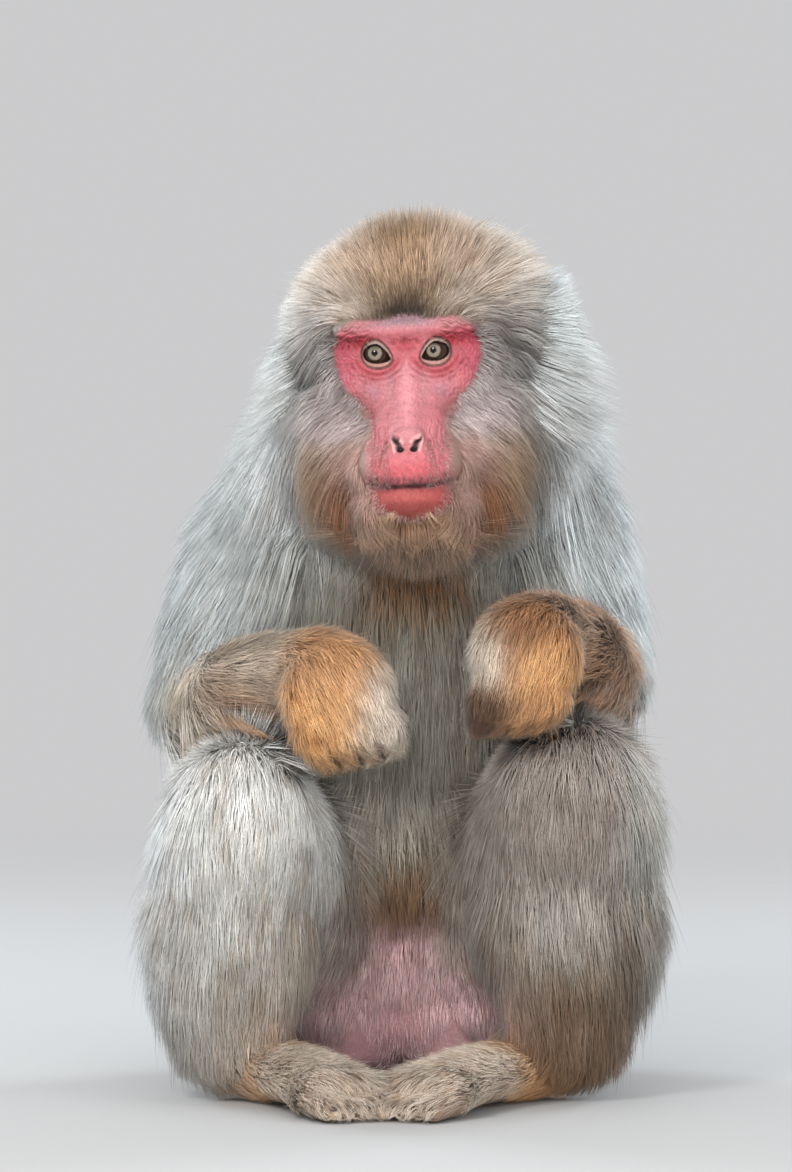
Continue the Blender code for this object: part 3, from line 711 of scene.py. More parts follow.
NET_ROUNDS = ((0.002, near_face), (0.0015, near_face), (0.0010, near_eyes))
pull(skin.data, 5, 0.004)
refine(skin.data, lambda points: near_face(points) | near_digits_or_ears(points))
pull(skin.data, 3, 0.003)
for most, wanted in NET_ROUNDS:
    refine(skin.data, wanted)
    pull(skin.data, 2, most, wanted)
skin.data.shade_smooth()
triangles = sum(len(face.vertices) - 2 for face in skin.data.polygons)
print("skin", len(skin.data.polygons), "faces", triangles, "triangles")
skin_low, skin_high = mesh_points(skin.data).min(0), mesh_points(skin.data).max(0)
print("skin box in mm", np.round(skin_low * 1000), np.round(skin_high * 1000))

# %% [markdown]
# ## Room for the coat
#
# The solids reach to the tips of the hairs, so the space between skin and solids is the coat. All solids are
# joined into one closed envelope, and from each point of the skin a ray along its normal measures how much
# room there is. Hairs are then never longer than the outline allows, from any side.

# %% The envelope
ENVELOPE_VOXEL = 0.0035
bm = bmesh.new()
for node in boxes:
    bm.from_mesh(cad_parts[node].data)
envelope = new_object("envelope", mesh_from("envelope", bm))
one_surface(envelope, ENVELOPE_VOXEL)
bake(envelope)
bm = bmesh.new()
bm.from_mesh(envelope.data)
envelope_tree = BVHTree.FromBMesh(bm)
bm.free()
bpy.data.objects.remove(envelope)

# %% Room at each point of the skin
MOST_ROOM = 0.09


def room(points, normals):
    """How far it is from each point to the envelope, along its normal."""
    found = np.zeros(len(points))
    for i, (point, normal) in enumerate(zip(points.tolist(), normals.tolist())):
        hit, _, _, far = envelope_tree.ray_cast(point, normal, MOST_ROOM)
        if hit is None:
            spot_on, facing, _, _ = envelope_tree.find_nearest(point)
            far = MOST_ROOM if (Vector(point) - spot_on).dot(facing) < 0 else 0.0
        found[i] = far
    return found


skin_points = mesh_points(skin.data)
flat = np.empty(len(skin_points) * 3, np.float32)
skin.data.vertex_normals.foreach_get("vector", flat)
skin_normals = flat.reshape(-1, 3).astype(float)
skin_room = room(skin_points, skin_normals)
print("coat's room in mm, mean and most", round(skin_room.mean() * 1000, 1), round(skin_room.max() * 1000, 1))

# %% [markdown]
# ## How the coat lies
#
# A coat is read from its lie: which way the hairs run, how long they are, how far they stand off, and their
# colour at root and tip. These are given for a few dozen named places, and every point of the skin takes a
# mix of the nearest ones on its own part of the body, so the lie turns smoothly from one to the next.

# %% Furs: root, tip, and the streaks that some locks show
def linear(red, green, blue):
    """A screen colour, 0 to 255, as the light it stands for."""
    c = np.array((red, green, blue)) / 255
    return np.where(c <= 0.04045, c / 12.92, ((c + 0.055) / 1.055) ** 2.4)


FURS = {
    "silver": ((140, 144, 144), (212, 219, 221), (150, 146, 138)),
    "mantle": ((124, 128, 128), (196, 202, 203), (134, 130, 122)),
    "white": ((180, 184, 186), (246, 249, 250), (196, 190, 182)),
    "crown": ((108, 85, 64), (176, 144, 112), (98, 73, 52)),
    "crown_pale": ((124, 104, 86), (214, 188, 166), (126, 102, 80)),
    # crown_front is a paler copy of the crown's fur: painted light that lifts the shade at the front of the
    # crown
    "crown_front": ((140, 114, 90), (204, 172, 140), (120, 92, 68)),
    "crown_edge": ((98, 78, 60), (186, 160, 132), (96, 74, 56)),
    "crown_side": ((156, 138, 120), (230, 216, 202), (150, 124, 98)),
    "notch": ((8, 4, 3), (20, 11, 8), (10, 6, 5)),
    "temple": ((92, 87, 85), (168, 161, 159), (58, 50, 48)),
    "cheek": ((140, 128, 127), (204, 190, 189), (126, 112, 108)),
    "muzzle": ((160, 124, 116), (206, 174, 164), (136, 100, 88)),
    "inner": ((186, 146, 148), (232, 200, 200), (184, 140, 128)),
    "pouch": ((100, 77, 57), (166, 140, 112), (116, 80, 50)),
    "beard": ((150, 114, 88), (226, 190, 160), (148, 108, 78)),
    "temple_out": ((118, 113, 108), (192, 187, 181), (92, 82, 74)),
    "chin": ((140, 116, 106), (180, 152, 138), (132, 106, 92)),
    "chest_side": ((126, 120, 110), (190, 186, 178), (136, 118, 98)),
    "breast": ((74, 48, 28), (132, 94, 60), (82, 52, 30)),
    "chest": ((102, 99, 89), (160, 158, 148), (116, 102, 86)),
    "belly": ((120, 114, 102), (194, 187, 174), (126, 106, 86)),
    "belly_low": ((82, 58, 40), (142, 111, 84), (88, 62, 42)),
    "groin": ((176, 136, 140), (228, 190, 192), (172, 132, 132)),
    "back": ((120, 108, 94), (206, 196, 182), (134, 112, 88)),
    "flank": ((146, 142, 136), (216, 216, 212), (150, 136, 118)),
    "forearm": ((122, 107, 92), (204, 190, 172), (122, 96, 74)),
    "sleeve": ((108, 78, 58), (188, 152, 124), (108, 78, 56)),
    "gold": ((150, 96, 52), (234, 184, 132), (166, 108, 60)),
    "gold_dark": ((128, 84, 50), (214, 164, 118), (120, 80, 48)),
    "hand_grey": ((150, 132, 116), (226, 214, 200), (164, 134, 106)),
    "knuckle": ((84, 54, 36), (166, 120, 84), (84, 54, 36)),
    "shin": ((134, 132, 125), (200, 200, 195), (152, 132, 106)),
    "shin_warm": ((112, 98, 86), (196, 185, 170), (136, 106, 74)),
    "shin_mid": ((114, 109, 101), (188, 184, 176), (130, 110, 88)),
    "knee": ((172, 170, 164), (234, 234, 230), (160, 144, 122)),
    "knee_dark": ((106, 97, 90), (166, 155, 146), (108, 88, 70)),
    "foot": ((136, 116, 100), (222, 208, 192), (160, 124, 90)),
    "beard_dark": ((86, 53, 27), (160, 105, 60), (92, 56, 27)),
    "fingertip": ((52, 38, 30), (112, 84, 66), (56, 40, 32)),
    "shin_dark": ((74, 56, 42), (132, 109, 88), (84, 62, 42)),
    "heel": ((124, 80, 42), (222, 172, 120), (132, 86, 46)),
}
FURS = {fur: tuple(linear(*shade) for shade in shades) for fur, shades in FURS.items()}
print("furs", len(FURS))

# %% Laying a place
lie_rows = []
PLAIN_TICKING = 0.16         # how far the hairs of a plain fur differ in brightness; some furs differ more
TICKED = {"forearm": 0.20, "crown": 0.22, "crown_front": 0.22, "crown_edge": 0.22, "hand_grey": 0.22,
          "sleeve": 0.22, "gold": 0.24, "notch": 0.24, "knuckle": 0.24, "gold_dark": 0.26}


def lay(node, place, flow, length, depth, fur, width=1.0, density=1.0):
    """One place of the coat. Length and depth in mm: the hairs' own length, and how far they stand off."""
    flow = one_long(np.asarray(flow, float))
    lie_rows.append((node, np.asarray(place, float), flow, length / 1000, depth / 1000, *FURS[fur],
                     width, density, TICKED.get(fur, PLAIN_TICKING)))


def lay_head(place, flow, length, depth, fur, width, density):
    """A place in mm in the head's frame; one off the middle is laid on both sides."""
    for wide in (-1, 1) if place[0] else (1,):
        turned = np.array((place[0] * wide, *place[1:])) / 1000
        way = np.array((flow[0] * wide, *flow[1:])) @ HEAD_AXES
        lay("head", from_head(turned), way, length, depth, fur, width, density)


def lay_body(rows, side="middle"):
    """Lays rows that are written as for a left limb, whose outward side is x; on the right x is mirrored."""
    outward = (WIDE.get(side, 1), 1, 1)
    places = {**TRUNK, **PLACES.get(side, {})}
    for part, place, direction, share, rest, length, depth, furs, *strands in rows:
        fur = furs.split()[-1 if side == "left" else 0]
        if fur != "none":
            flow = share * places.get("along_" + part, 0.0) + np.array(rest) * outward
            node = part if part in boxes else part + "_" + side
            lay(node, on(places[place], np.array(direction) * outward), flow, length, depth, fur, *strands)


# %% Places on the head
# Each row: the place, the hairs' way, their length and depth, the fur, and the hairs' width and density.
HEAD_ROWS = (
    ((0, 2, 25), (0, 0.25, 1), 10, 9, "notch", 0.45, 4.0),
    # the next two rows lay crown_front, a paler copy of the crown's fur: painted light where the front of the
    # crown falls in shade
    ((0, 6, 34.5), (0, 0.25, 1), 12, 14, "crown_front", 0.42, 4.6),
    ((9, 12, 40), (0.1, 0.25, 1), 14, 18, "crown_front", 0.42, 4.6),
    ((6, 2, 24.5), (0.2, 0.25, 1), 10, 8, "notch", 0.45, 4.0),
    ((3.5, 2.5, 27.5), (0.1, 0.25, 1), 10, 9, "notch", 0.45, 4.0),
    ((13, 6, 28), (0.35, 0.3, 1), 13, 13, "crown_edge", 0.45, 3.4),
    ((30, 8, 26), (0.6, 0.3, 0.8), 15, 14, "crown_side", 0.5, 3.0),
    # crown_front again: painted light on the front of the crown
    ((0, 18, 47), (0, 0.30, 1), 16, 24, "crown_front", 0.42, 4.8),
    ((0, 36, 58), (0, 0.6, 0.8), 18, 27, "crown", 0.42, 4.4),
    ((28, 26, 50), (0.45, 0.4, 0.8), 18, 26, "crown_pale", 0.42, 4.4),
    ((0, 66, 60), (0, 1, 0.35), 27, 30, "crown", 0.8, 1.6),
    ((48, 50, 40), (0.8, 0.5, 0.25), 36, 36, "crown_side", 0.7, 2.0),
    ((46, 16, 26), (0.85, 0.4, 0.3), 26, 24, "crown_side", 0.6, 2.4),
    ((44, 10, 16), (0.9, 0.3, -0.2), 38, 18, "temple", 0.5, 3.0),
    ((48.5, 14, 3), (0.85, 0.3, -0.45), 46, 24, "temple", 0.5, 3.0),
    ((53, 22, 4), (0.85, 0.3, -0.40), 56, 36, "temple_out", 0.6, 2.6),
    ((56, 30, 6), (0.85, 0.3, -0.35), 56, 44, "temple_out", 0.6, 2.2),
    ((61, 24, -4), (0.85, 0.2, -0.45), 50, 26, "silver", 0.6, 2.4),
    ((61, 27, 10), (0.85, 0.2, -0.35), 50, 28, "silver", 0.6, 2.4),
    ((62, 28, -18), (0.85, 0.2, -0.50), 50, 28, "silver", 0.6, 2.4),
    ((55, 32, -14), (0.85, 0.3, -0.45), 56, 50, "silver", 0.7, 1.8),
    ((44, 12, -15), (0.75, 0.2, -0.65), 30, 18, "cheek", 0.5, 3.0),
    ((40, 10, -30), (0.7, 0.15, -0.65), 28, 20, "cheek", 0.5, 3.0),
    ((54, 22, -22), (0.85, 0.2, -0.55), 56, 28, "temple_out", 0.6, 2.6),
    ((30, 2, -38), (0.6, 0.2, -0.70), 20, 14, "cheek", 0.5, 3.0),
    ((46, 12, -48), (0.7, 0.0, -0.70), 40, 30, "pouch", 0.6, 2.6),
    ((42, 8, -60), (0.65, -0.1, -0.75), 46, 32, "pouch", 0.6, 2.6),
    ((36, -2, -78), (0.55, -0.25, -0.80), 44, 30, "beard_dark", 0.6, 2.8),
    ((29, -8, -62), (0.6, 0.3, -0.60), 12, 6, "muzzle", 0.36, 7.0),
    ((26.5, -12, -84), (0.6, 0.2, -0.70), 13, 6, "muzzle", 0.38, 6.0),
    ((10, -26, -101), (0.25, -0.2, -0.95), 24, 18, "chin", 0.32, 8.0),
    ((12, -16, -100), (0.3, -0.6, -0.90), 40, 32, "beard", 0.5, 3.6),
    ((0, -20, -100), (0, -0.7, -0.9), 36, 28, "beard", 0.5, 4.0),
    ((0, -6, -100), (0, -0.6, -0.9), 50, 40, "beard", 0.6, 2.0),
    ((22, -6, -96), (0.45, -0.4, -0.85), 50, 42, "beard", 0.6, 2.2),
    ((40, 22, -86), (0.55, -0.1, -0.85), 54, 46, "chest", 0.8, 1.6),
    ((58, 55, -30), (0.85, 0.25, -0.45), 72, 60, "white", 0.9, 1.3),
    ((50, 50, -75), (0.65, 0.05, -0.80), 72, 60, "silver", 0.9, 1.3),
    ((70, 54, 10), (0.75, 0.4, -0.1), 44, 36, "silver", 0.8, 1.4),
    ((84, 80, 4), (0.5, 0.8, -0.1), 16, 6, "white", 0.7, 1.5),
    ((0, 112, 20), (0, 0.45, -0.9), 46, 38, "back", 0.9, 1.1),
    ((45, 96, 0), (0.6, 0.45, -0.7), 56, 48, "flank", 0.9, 1.1),
    ((0, 100, -40), (0, 0.25, -1), 60, 50, "back", 0.9, 1.0),
    ((0, 20, -100), (0, -0.3, -1), 56, 50, "beard", 0.8, 1.4),
)
for row in HEAD_ROWS:
    lay_head(*row)
print("places on the head", len(lie_rows))

# %% Places on the middle of the trunk and on the tail
# Each row: the part, the place and the side of it, the share of the part's own direction and what is added to
# it for the hairs' way, their length and depth, the fur, and their width and density where these aren't 1.
MIDDLE_ROWS = (
    ("neck", "withers", (0, 0.9, 0.3), 0, (0, 0.3, -1), 83, 54, "back"),
    ("neck", "withers", (0, -0.9, 0), 0, (0, -0.2, -1), 75, 52, "chest"),
    ("neck", "neck_top", (0, -1, 0), 0, (0, -0.5, -1), 78, 54, "beard"),
    ("chest", "breast", (0.18, -0.95, 0.2), 0, (0.05, -0.15, -1), 38, 40, "breast", 0.9, 1.2),
    ("chest", "breast", (-0.22, -0.95, 0.2), 0, (-0.05, -0.15, -1), 38, 40, "breast", 0.9, 1.2),
    ("chest", "breast", (0, -0.9, 0.3), 0, (0, -0.15, -1), 38, 40, "breast", 0.9, 1.2),
    ("chest", "breast", (0, -1, -0.5), 0, (0, -0.1, -1), 52, 34, "chest", 0.9, 1.2),
    ("chest", "ribs", (0, 1, 0), 0, (0, 0.15, -1), 75, 44, "back"),
    ("chest", "ribs", (0, -1, -0.6), 0, (0, -0.05, -1), 70, 42, "chest", 0.9, 1.2),
    ("abdomen", "belly", (0, -0.6, 1.0), 0, (0, -0.10, -1), 60, 30, "chest", 0.9, 1.2),
    ("abdomen", "loin", (0, 1, 0), 0, (0, 0.15, -1), 70, 42, "back"),
    ("abdomen", "belly", (0, -1, 0.3), 0, (0, -0.05, -1), 44, 22, "belly"),
    ("abdomen", "belly", (0, -1, -0.05), 0, (0, 0, -1), 38, 21, "belly_low"),
    ("abdomen", "belly", (0, -1, -0.40), 0, (0, 0, -1), 36, 20, "belly_low"),
    ("abdomen", "belly", (0, -0.85, -0.95), 0, (0, 0, -1), 22, 12, "groin"),
    ("rump", "rump", (0, 1, 0), 0, (0, 0.4, -1), 65, 38, "back"),
    ("rump", "rump", (0, -0.95, 0.1), 0, (0, -0.1, -1), 34, 15, "groin", 0.8, 1.6),
    ("rump", "rump", (0, -0.88, -0.45), 0, (0, -0.1, -1), 7, 3, "inner", 0.5, 0.30),
    ("rump", "rump", (0, -0.5, -0.9), 0, (0, -0.1, -1), 9, 4, "inner", 0.5, 0.8),
    ("tail", "tail_root", (0, 0, 1), 1, (0, 0, 0), 39, 16, "back"),
    ("tail", "tail_tip", (0, 0.5, 0.5), 1, (0, 0, 0), 31, 12, "back"),
)
lay_body(MIDDLE_ROWS)
print("places so far", len(lie_rows))

# %% Places on each side of the trunk
SIDE_ROWS = (
    ("neck", "withers", (0.9, 0.3, 0.3), 0, (0.6, 0.15, -0.8), 91, 60, "mantle"),
    ("neck", "withers", (0.7, -0.7, 0.1), 0, (0.35, -0.2, -1), 83, 56, "mantle"),
    ("neck", "neck_top", (0.9, 0, 0), 0, (0.5, -0.1, -0.9), 91, 60, "white"),
    ("chest", "breast", (0.75, -0.7, 0.4), 0, (0.1, -0.15, -1), 60, 42, "chest"),
    ("chest", "breast", (0.7, -0.8, -0.4), 0, (0.1, -0.1, -1), 55, 36, "chest"),
    ("chest", "ribs", (0.6, -0.8, 0.3), 0, (0.15, -0.1, -1), 60, 40, "chest_side"),
    ("chest", "ribs", (1, 0.3, -0.2), 0, (0.2, 0.1, -1), 68, 40, "flank"),
    ("abdomen", "loin", (1, 0.2, 0), 0, (0.15, 0.05, -1), 65, 38, "flank"),
    ("abdomen", "belly", (0.9, -0.6, 0.3), 0, (0, 0, -1), 47, 24, "chest"),
    ("rump", "rump", (1, 0.3, 0), 0, (0.2, 0.2, -1), 60, 36, "flank"),
    ("rump", "rump", (0.45, -0.85, -0.2), 0, (0, -0.1, -1), 29, 13, "groin", 0.8, 1.6),
    ("rump", "seat", (0, 0, -1), 0, (0, -0.5, -0.3), 2, 1, "groin", 1.0, 0.0),
)

# %% Places on the limbs
# Where a row names two furs, the first is the right limb's and the second the left's; none lays no place.
ARM_ROWS = (
    ("upper_arm", "shoulder", (0.6, 0.2, 0.8), 1, (0.3, 0, 0), 73, 40, "silver"),
    ("upper_arm", "shoulder", (0.8, -0.7, -0.2), 1, (0.1, 0, 0), 62, 30, "silver"),
    ("upper_arm", "elbow", (1, 0.2, 0.5), 1, (0, 0, 0), 57, 26, "silver"),
    ("upper_arm", "elbow", (0, 0.4, -1), 0.4, (0, 0, -1), 49, 24, "flank"),
    ("upper_arm", "elbow", (0.3, -1, 0.3), 1, (0, 0, -0.3), 47, 22, "forearm sleeve"),
    ("forearm", "elbow", (0.7, -0.7, 0), 1, (0, 0, -0.2), 49, 18, "forearm sleeve", 0.7, 1.8),
    ("forearm", "mid_forearm", (0, -0.3, 1), 1, (0, 0, -0.1), 42, 14, "forearm sleeve", 0.6, 2.2),
    ("forearm", "mid_forearm", (0, 0, -1), 0.9, (0, 0, -0.4), 44, 16, "sleeve", 0.6, 2.2),
    ("forearm", "wrist", (0, -0.3, 1), 1, (0, 0, -0.2), 31, 10, "gold_dark knuckle", 0.5, 2.8),
    ("forearm", "wrist", (0, 0, -1), 1, (0, 0, -0.3), 29, 10, "forearm", 0.5, 2.8),
    ("hand", "palm", (0, -0.4, 0.9), 1, (0, 0, 0), 22, 10, "gold_dark knuckle", 0.5, 3.0),
    ("hand", "palm", (0.3, -1, 0), 1, (0, 0, 0), 22, 10, "gold", 0.5, 3.0),
    ("hand", "palm", (0.9, -0.4, -0.3), 1, (0, 0, 0), 22, 10, "gold", 0.5, 3.0),
    ("hand", "palm", (-0.9, -0.5, 0.2), 1, (0, 0, 0), 20, 9, "hand_grey", 0.5, 3.0),
    ("hand", "inner_knuckle", (0, 0, 0), 1, (0, 0, -0.3), 13, 5, "hand_grey fingertip", 0.5, 3.0),
    ("hand", "outer_knuckle", (0, 0, 0), 1, (0, 0, -0.3), 14, 6, "gold gold_dark", 0.5, 3.0),
    ("hand", "palm", (0, 1, -0.2), 1, (0, 0, 0), 6, 3, "knuckle", 0.5, 1.2),
)
LEG_ROWS = (
    ("thigh", "hip", (1, 0.3, 0), 1, (0, 0, -0.6), 60, 30, "flank"),
    ("thigh", "hip", (0.3, -0.2, 1), 1, (0, 0, 0), 40, 20, "shin_dark"),
    ("thigh", "knee", (0, 0.3, 1), 0, (0, -0.8, -0.4), 42, 18, "knee knee_dark", 0.8, 2.2),
    ("thigh", "knee", (0, -1, 0), 0, (0, -0.2, -1), 38, 19, "knee knee_dark", 0.8, 1.8),
    ("thigh", "knee", (1, 0, 0), 0, (0.2, 0, -1), 57, 28, "white shin"),
    ("thigh", "hip", (-0.8, -0.6, 0.4), 0, (0, -0.3, -1), 20, 12, "belly", 0.8, 1.3),
    ("thigh", "hip", (-0.8, -0.5, -0.6), 0, (0, -0.3, -1), 12, 6, "inner", 0.6, 1.4),
    ("shin", "ankle", (-0.9, 0.3, 1.5), 0, (0, -0.2, -1), 16, 8, "inner", 0.7, 1.4),
    ("shin", "calf", (0, -1, 0.4), 0, (0, -0.1, -1), 49, 26, "shin shin_mid", 0.9, 1.2),
    ("shin", "calf", (-0.1, -0.9, -1.0), 0, (0, -0.1, -1), 50, 28, "shin_warm shin_dark", 0.9, 1.2),
    ("shin", "calf", (0.35, -0.95, -0.35), 0, (0.1, -0.1, -1), 50, 28, "none shin_dark", 0.9, 1.2),
    ("shin", "ankle", (-0.2, -1, 0.4), 0, (0, -0.1, -1), 44, 24, "shin_warm shin_dark", 0.9, 1.2),
    ("shin", "calf", (1, 0, 0), 0, (0.35, 0.1, -1), 70, 36, "white shin"),
    ("shin", "calf", (-1, -0.2, 0), 0, (0, 0, -1), 47, 24, "shin_warm knee_dark"),
    ("shin", "calf", (0, 1, 0), 0, (0, 0.2, -1), 52, 30, "flank"),
    ("shin", "calf", (0.7, -0.5, -0.7), 0, (0.25, -0.1, -1), 58, 32, "shin shin_dark"),
    ("shin", "ankle", (0.6, -0.8, 0.2), 0, (0.15, -0.1, -1), 49, 28, "shin shin_dark"),
    ("shin", "ankle", (1, 0.3, 0), 0, (0.35, 0.1, -1), 62, 36, "white shin_dark"),
    ("shin", "ankle", (-0.9, -0.5, -0.2), 0, (-0.3, -0.4, -1), 34, 16, "heel", 0.8, 1.3),
    ("foot", "heel", (0, 1, 0.2), 0, (0, 0.2, -1), 18, 10, "heel", 0.7, 1.6),
    ("foot", "heel", (0, -0.3, 1), 1, (0, 0, -0.1), 26, 12, "heel", 0.6, 2.2),
    ("foot", "instep", (0, 0, 0), 1, (0, 0, 0), 26, 13, "foot", 0.6, 2.4),
    ("foot", "sole", (0, 0, 1), 1, (0, 0, -0.15), 22, 11, "foot", 0.55, 2.6),
    ("foot", "toes", (0, 0, 0), 1, (0, 0, -0.4), 13, 5, "foot", 0.5, 2.6),
)
for side in SIDES:
    lay_body(SIDE_ROWS + ARM_ROWS + LEG_ROWS, side)
print("places of the coat", len(lie_rows))

# %% [markdown]
# ## Mixing the places
#
# A place counts more the nearer it is, and only on its own part of the body, so the gold of a hand never
# leaks into the belly behind it. Values are mixed at each point of the skin and read by every
# hair that roots there; the skin under the hair takes the furs' root colours, so no gap looks pale.


# %% Which part of the body a point belongs to
COAT_NODES = sorted({row[0] for row in lie_rows})
HEAD_CORE = ((SKULL, UPPER_FACE), (JAW_HINGE, LIPS), (JAW_HINGE, CHIN), (CHEEK_PAD, JOWL), (EAR_ROOT, EAR))
FAR_OFF = 0.2


def part_distances(points):
    found = np.full((len(points), len(COAT_NODES)), FAR_OFF)
    for node, start, end in flesh:
        column = COAT_NODES.index(node)
        found[:, column] = np.minimum(found[:, column], stretch(points, start, end))
    both = folded(to_head(points))
    head = COAT_NODES.index("head")
    for start, end in HEAD_CORE:
        found[:, head] = np.minimum(found[:, head], stretch(both, start, end))
    return found


PART_BLUR = 0.010            # over this distance one part's coat gives way to the next one's
PLACE_BLUR = {"head": 0.0065, "shin_left": 0.020, "shin_right": 0.020}       # and one place's to the next
BODY_BLUR = 0.010
distances = part_distances(skin_points)
nearest_part = distances.argmin(1)
belongs = np.exp(-(distances - distances.min(1)[:, None]) / PART_BLUR)
weights = np.empty((len(skin_points), len(lie_rows)))
for i, row in enumerate(lie_rows):
    away = ((skin_points - row[1]) ** 2).sum(1)
    blur = PLACE_BLUR.get(row[0], BODY_BLUR)
    weights[:, i] = belongs[:, COAT_NODES.index(row[0])] / (away + blur**2) ** 2
weights /= weights.sum(1)[:, None]
table = np.array([np.hstack(row[2:]) for row in lie_rows])
mixed = weights @ table
lie_flow, lie_length, lie_depth = mixed[:, :3], mixed[:, 3], mixed[:, 4]
lie_root, lie_tip, lie_streak = mixed[:, 5:8], mixed[:, 8:11], mixed[:, 11:14]
lie_width, lie_density, lie_ticking = mixed[:, 14], mixed[:, 15], mixed[:, 16]
print("parts with a coat", len(COAT_NODES), "values at each point", table.shape[1])

# %% Where the skin is bare
local_points = to_head(skin_points)
front_limit = 0.012 - 0.030 * ramp(local_points[:, 2], -0.030, -0.048)
on_head = nearest_part == COAT_NODES.index("head")
beyond_mask = -mask_inside(local_points) + 2 * np.maximum(0, local_points[:, 1] - front_limit)
beyond_mask = np.where(on_head & (np.abs(local_points[:, 0]) < 0.07), beyond_mask, 0.1)
hairy = ramp(beyond_mask, -0.0030, 0.0020)
by_ear = np.stack((np.abs(local_points[:, 0] - HEAD_SHIFT), *local_points[:, 1:].T), 1)
bare_ear = ramp(np.linalg.norm((by_ear - EAR[0]) / EAR[1], axis=1), 1.25, 0.95)
hairy *= 1 - 0.55 * bare_ear
under = ramp(skin_points[:, 2], 0.006, 0.002)
bearded = ramp(local_points[:, 2], -0.092, -0.100) * on_head
fine_edge = ramp(local_points[:, 2], -0.072, -0.082) * on_head        # the hairs at the lips are short
past_edge = np.maximum(beyond_mask, 0) * (1 + 3 * bearded)
lie_depth = np.minimum(lie_depth, 0.0022 - 0.0010 * fine_edge + 2.0 * past_edge)
lie_length = np.minimum(lie_length, 0.009 - 0.0055 * fine_edge + 3.4 * past_edge)
skin_room = np.maximum(skin_room, 0.030 * bearded)
print("bare share of the skin", round(float((hairy < 0.5).mean()), 3))


# %% Smooth values over the net
skin_edges = np.empty(len(skin.data.edges) * 2, np.int32)
skin.data.edges.foreach_get("vertices", skin_edges)
skin_edges = skin_edges.reshape(-1, 2)


def smooth(values, rounds):
    """Each point takes half its neighbours' mean, several times."""
    count = np.bincount(skin_edges.ravel(), minlength=len(values)).astype(float)
    for _ in range(rounds):
        total = np.zeros_like(values)
        np.add.at(total, skin_edges[:, 0], values[skin_edges[:, 1]])
        np.add.at(total, skin_edges[:, 1], values[skin_edges[:, 0]])
        values = 0.5 * values + 0.5 * total / (count[:, None] if values.ndim == 2 else count)
    return values


coat_depth = smooth(np.minimum(lie_depth, skin_room), 4)
coat_depth = np.minimum(coat_depth, skin_room)
in_mm = coat_depth * 1000
print("coat's depth in mm, mean and most", round(in_mm.mean(), 1), round(in_mm.max(), 1))

# %% [markdown]
# ## Hairs as solid tufts
#
# Each tuft is a thin closed spindle of three sides: a point sunk a little into the skin, a ring where it
# bends, and a long tip. It leaves the skin steeply, then bends over into the lie. Neighbouring tips lean
# together into locks, as real hair does when it is thick, and four in a hundred are guard hairs, longer,
# finer and darker than the rest. Tufts are made as arrays of numbers, all at once, because hundreds of
# thousands of them would take Blender's modelling tools far too long one by one.

# %% Roots, spread evenly over the skin
TUFTS = 242_000
MOST_PER_PIECE = 32_500
rng = np.random.default_rng(7)
skin.data.calc_loop_triangles()
corners = np.empty(len(skin.data.loop_triangles) * 3, np.int32)
skin.data.loop_triangles.foreach_get("vertices", corners)
corners = corners.reshape(-1, 3)
a, b, c = (skin_points[corners[:, i]] for i in range(3))
areas = np.linalg.norm(np.cross(b - a, c - a), axis=1) / 2
enough_room = ramp(skin_room, 0.0008, 0.0020)
wish = (lie_density * hairy * enough_room * (1 - under))[corners].mean(1) * areas
print("skin area in square metres", round(float(areas.sum()), 3), "hairy", round(float(wish.sum()), 3))
steps = (np.arange(TUFTS) + rng.random(TUFTS)) / TUFTS * wish.sum()
chosen = np.minimum(np.searchsorted(np.cumsum(wish), steps), len(wish) - 1)
share = rng.random((TUFTS, 2))
share = np.where(share.sum(1)[:, None] > 1, 1 - share, share)
share = np.stack((1 - share.sum(1), *share.T), 1)


def at_roots(values):
    """A value of the skin's points, read where each hair roots."""
    picked = values[corners[chosen]]
    return np.einsum("rk,rk...->r...", share, picked)


def unit(vectors):
    return vectors / np.maximum(np.linalg.norm(vectors, axis=1)[:, None], 1e-9)


root = at_roots(skin_points)
normal = unit(at_roots(skin_normals))
flow = at_roots(lie_flow)
flow = unit(flow - (flow * normal).sum(1)[:, None] * normal)
depth, length, width = at_roots(coat_depth), at_roots(lie_length), at_roots(lie_width)
colour_root, colour_tip, colour_streak = at_roots(lie_root), at_roots(lie_tip), at_roots(lie_streak)
part = nearest_part[corners[chosen, share.argmax(1)]]
print("roots", len(root))


# %% Bend and jitter
def waves(points, size):
    """A smooth, seeded wandering between about -1 and 1 over the body."""
    total = 0
    for number in range(4):
        way = np.array((math.sin(2.1 * number + 1), math.cos(1.7 * number), math.sin(1.3 * number + 2)))
        total = total + np.sin(points @ way * (2 * np.pi / size) * (1 + 0.37 * number) + 1.9 * number)
    return total / 2.2


GUARD_SHARE, GUARD_LONGER, GUARD_HIGHER = 0.040, 1.35, 1.25
cross = np.cross(normal, flow)
turn = rng.normal(0, 0.12, TUFTS) + 0.10 * ramp(length, 0.014, 0.034) * waves(root, 0.032)
flow = unit(flow + turn[:, None] * cross)
tall = depth * np.clip(rng.normal(0.90, 0.11, TUFTS), 0.5, 1.10)
long = length * np.clip(rng.normal(0.95, 0.14, TUFTS), 0.5, 1.3)
guard = (rng.random(TUFTS) < GUARD_SHARE) & (length > 0.012)
long = np.where(guard, GUARD_LONGER * long, long)
tall = np.where(guard, GUARD_HIGHER * tall, tall)
lying = np.clip(length / np.maximum(depth, 0.001) - 0.55, 0.30, 0.75)
lateral = np.sqrt(np.maximum(long**2 - tall**2, (lying * long) ** 2))
tip = root + normal * tall[:, None] + flow * lateral[:, None]
print("guard hairs", int(guard.sum()))

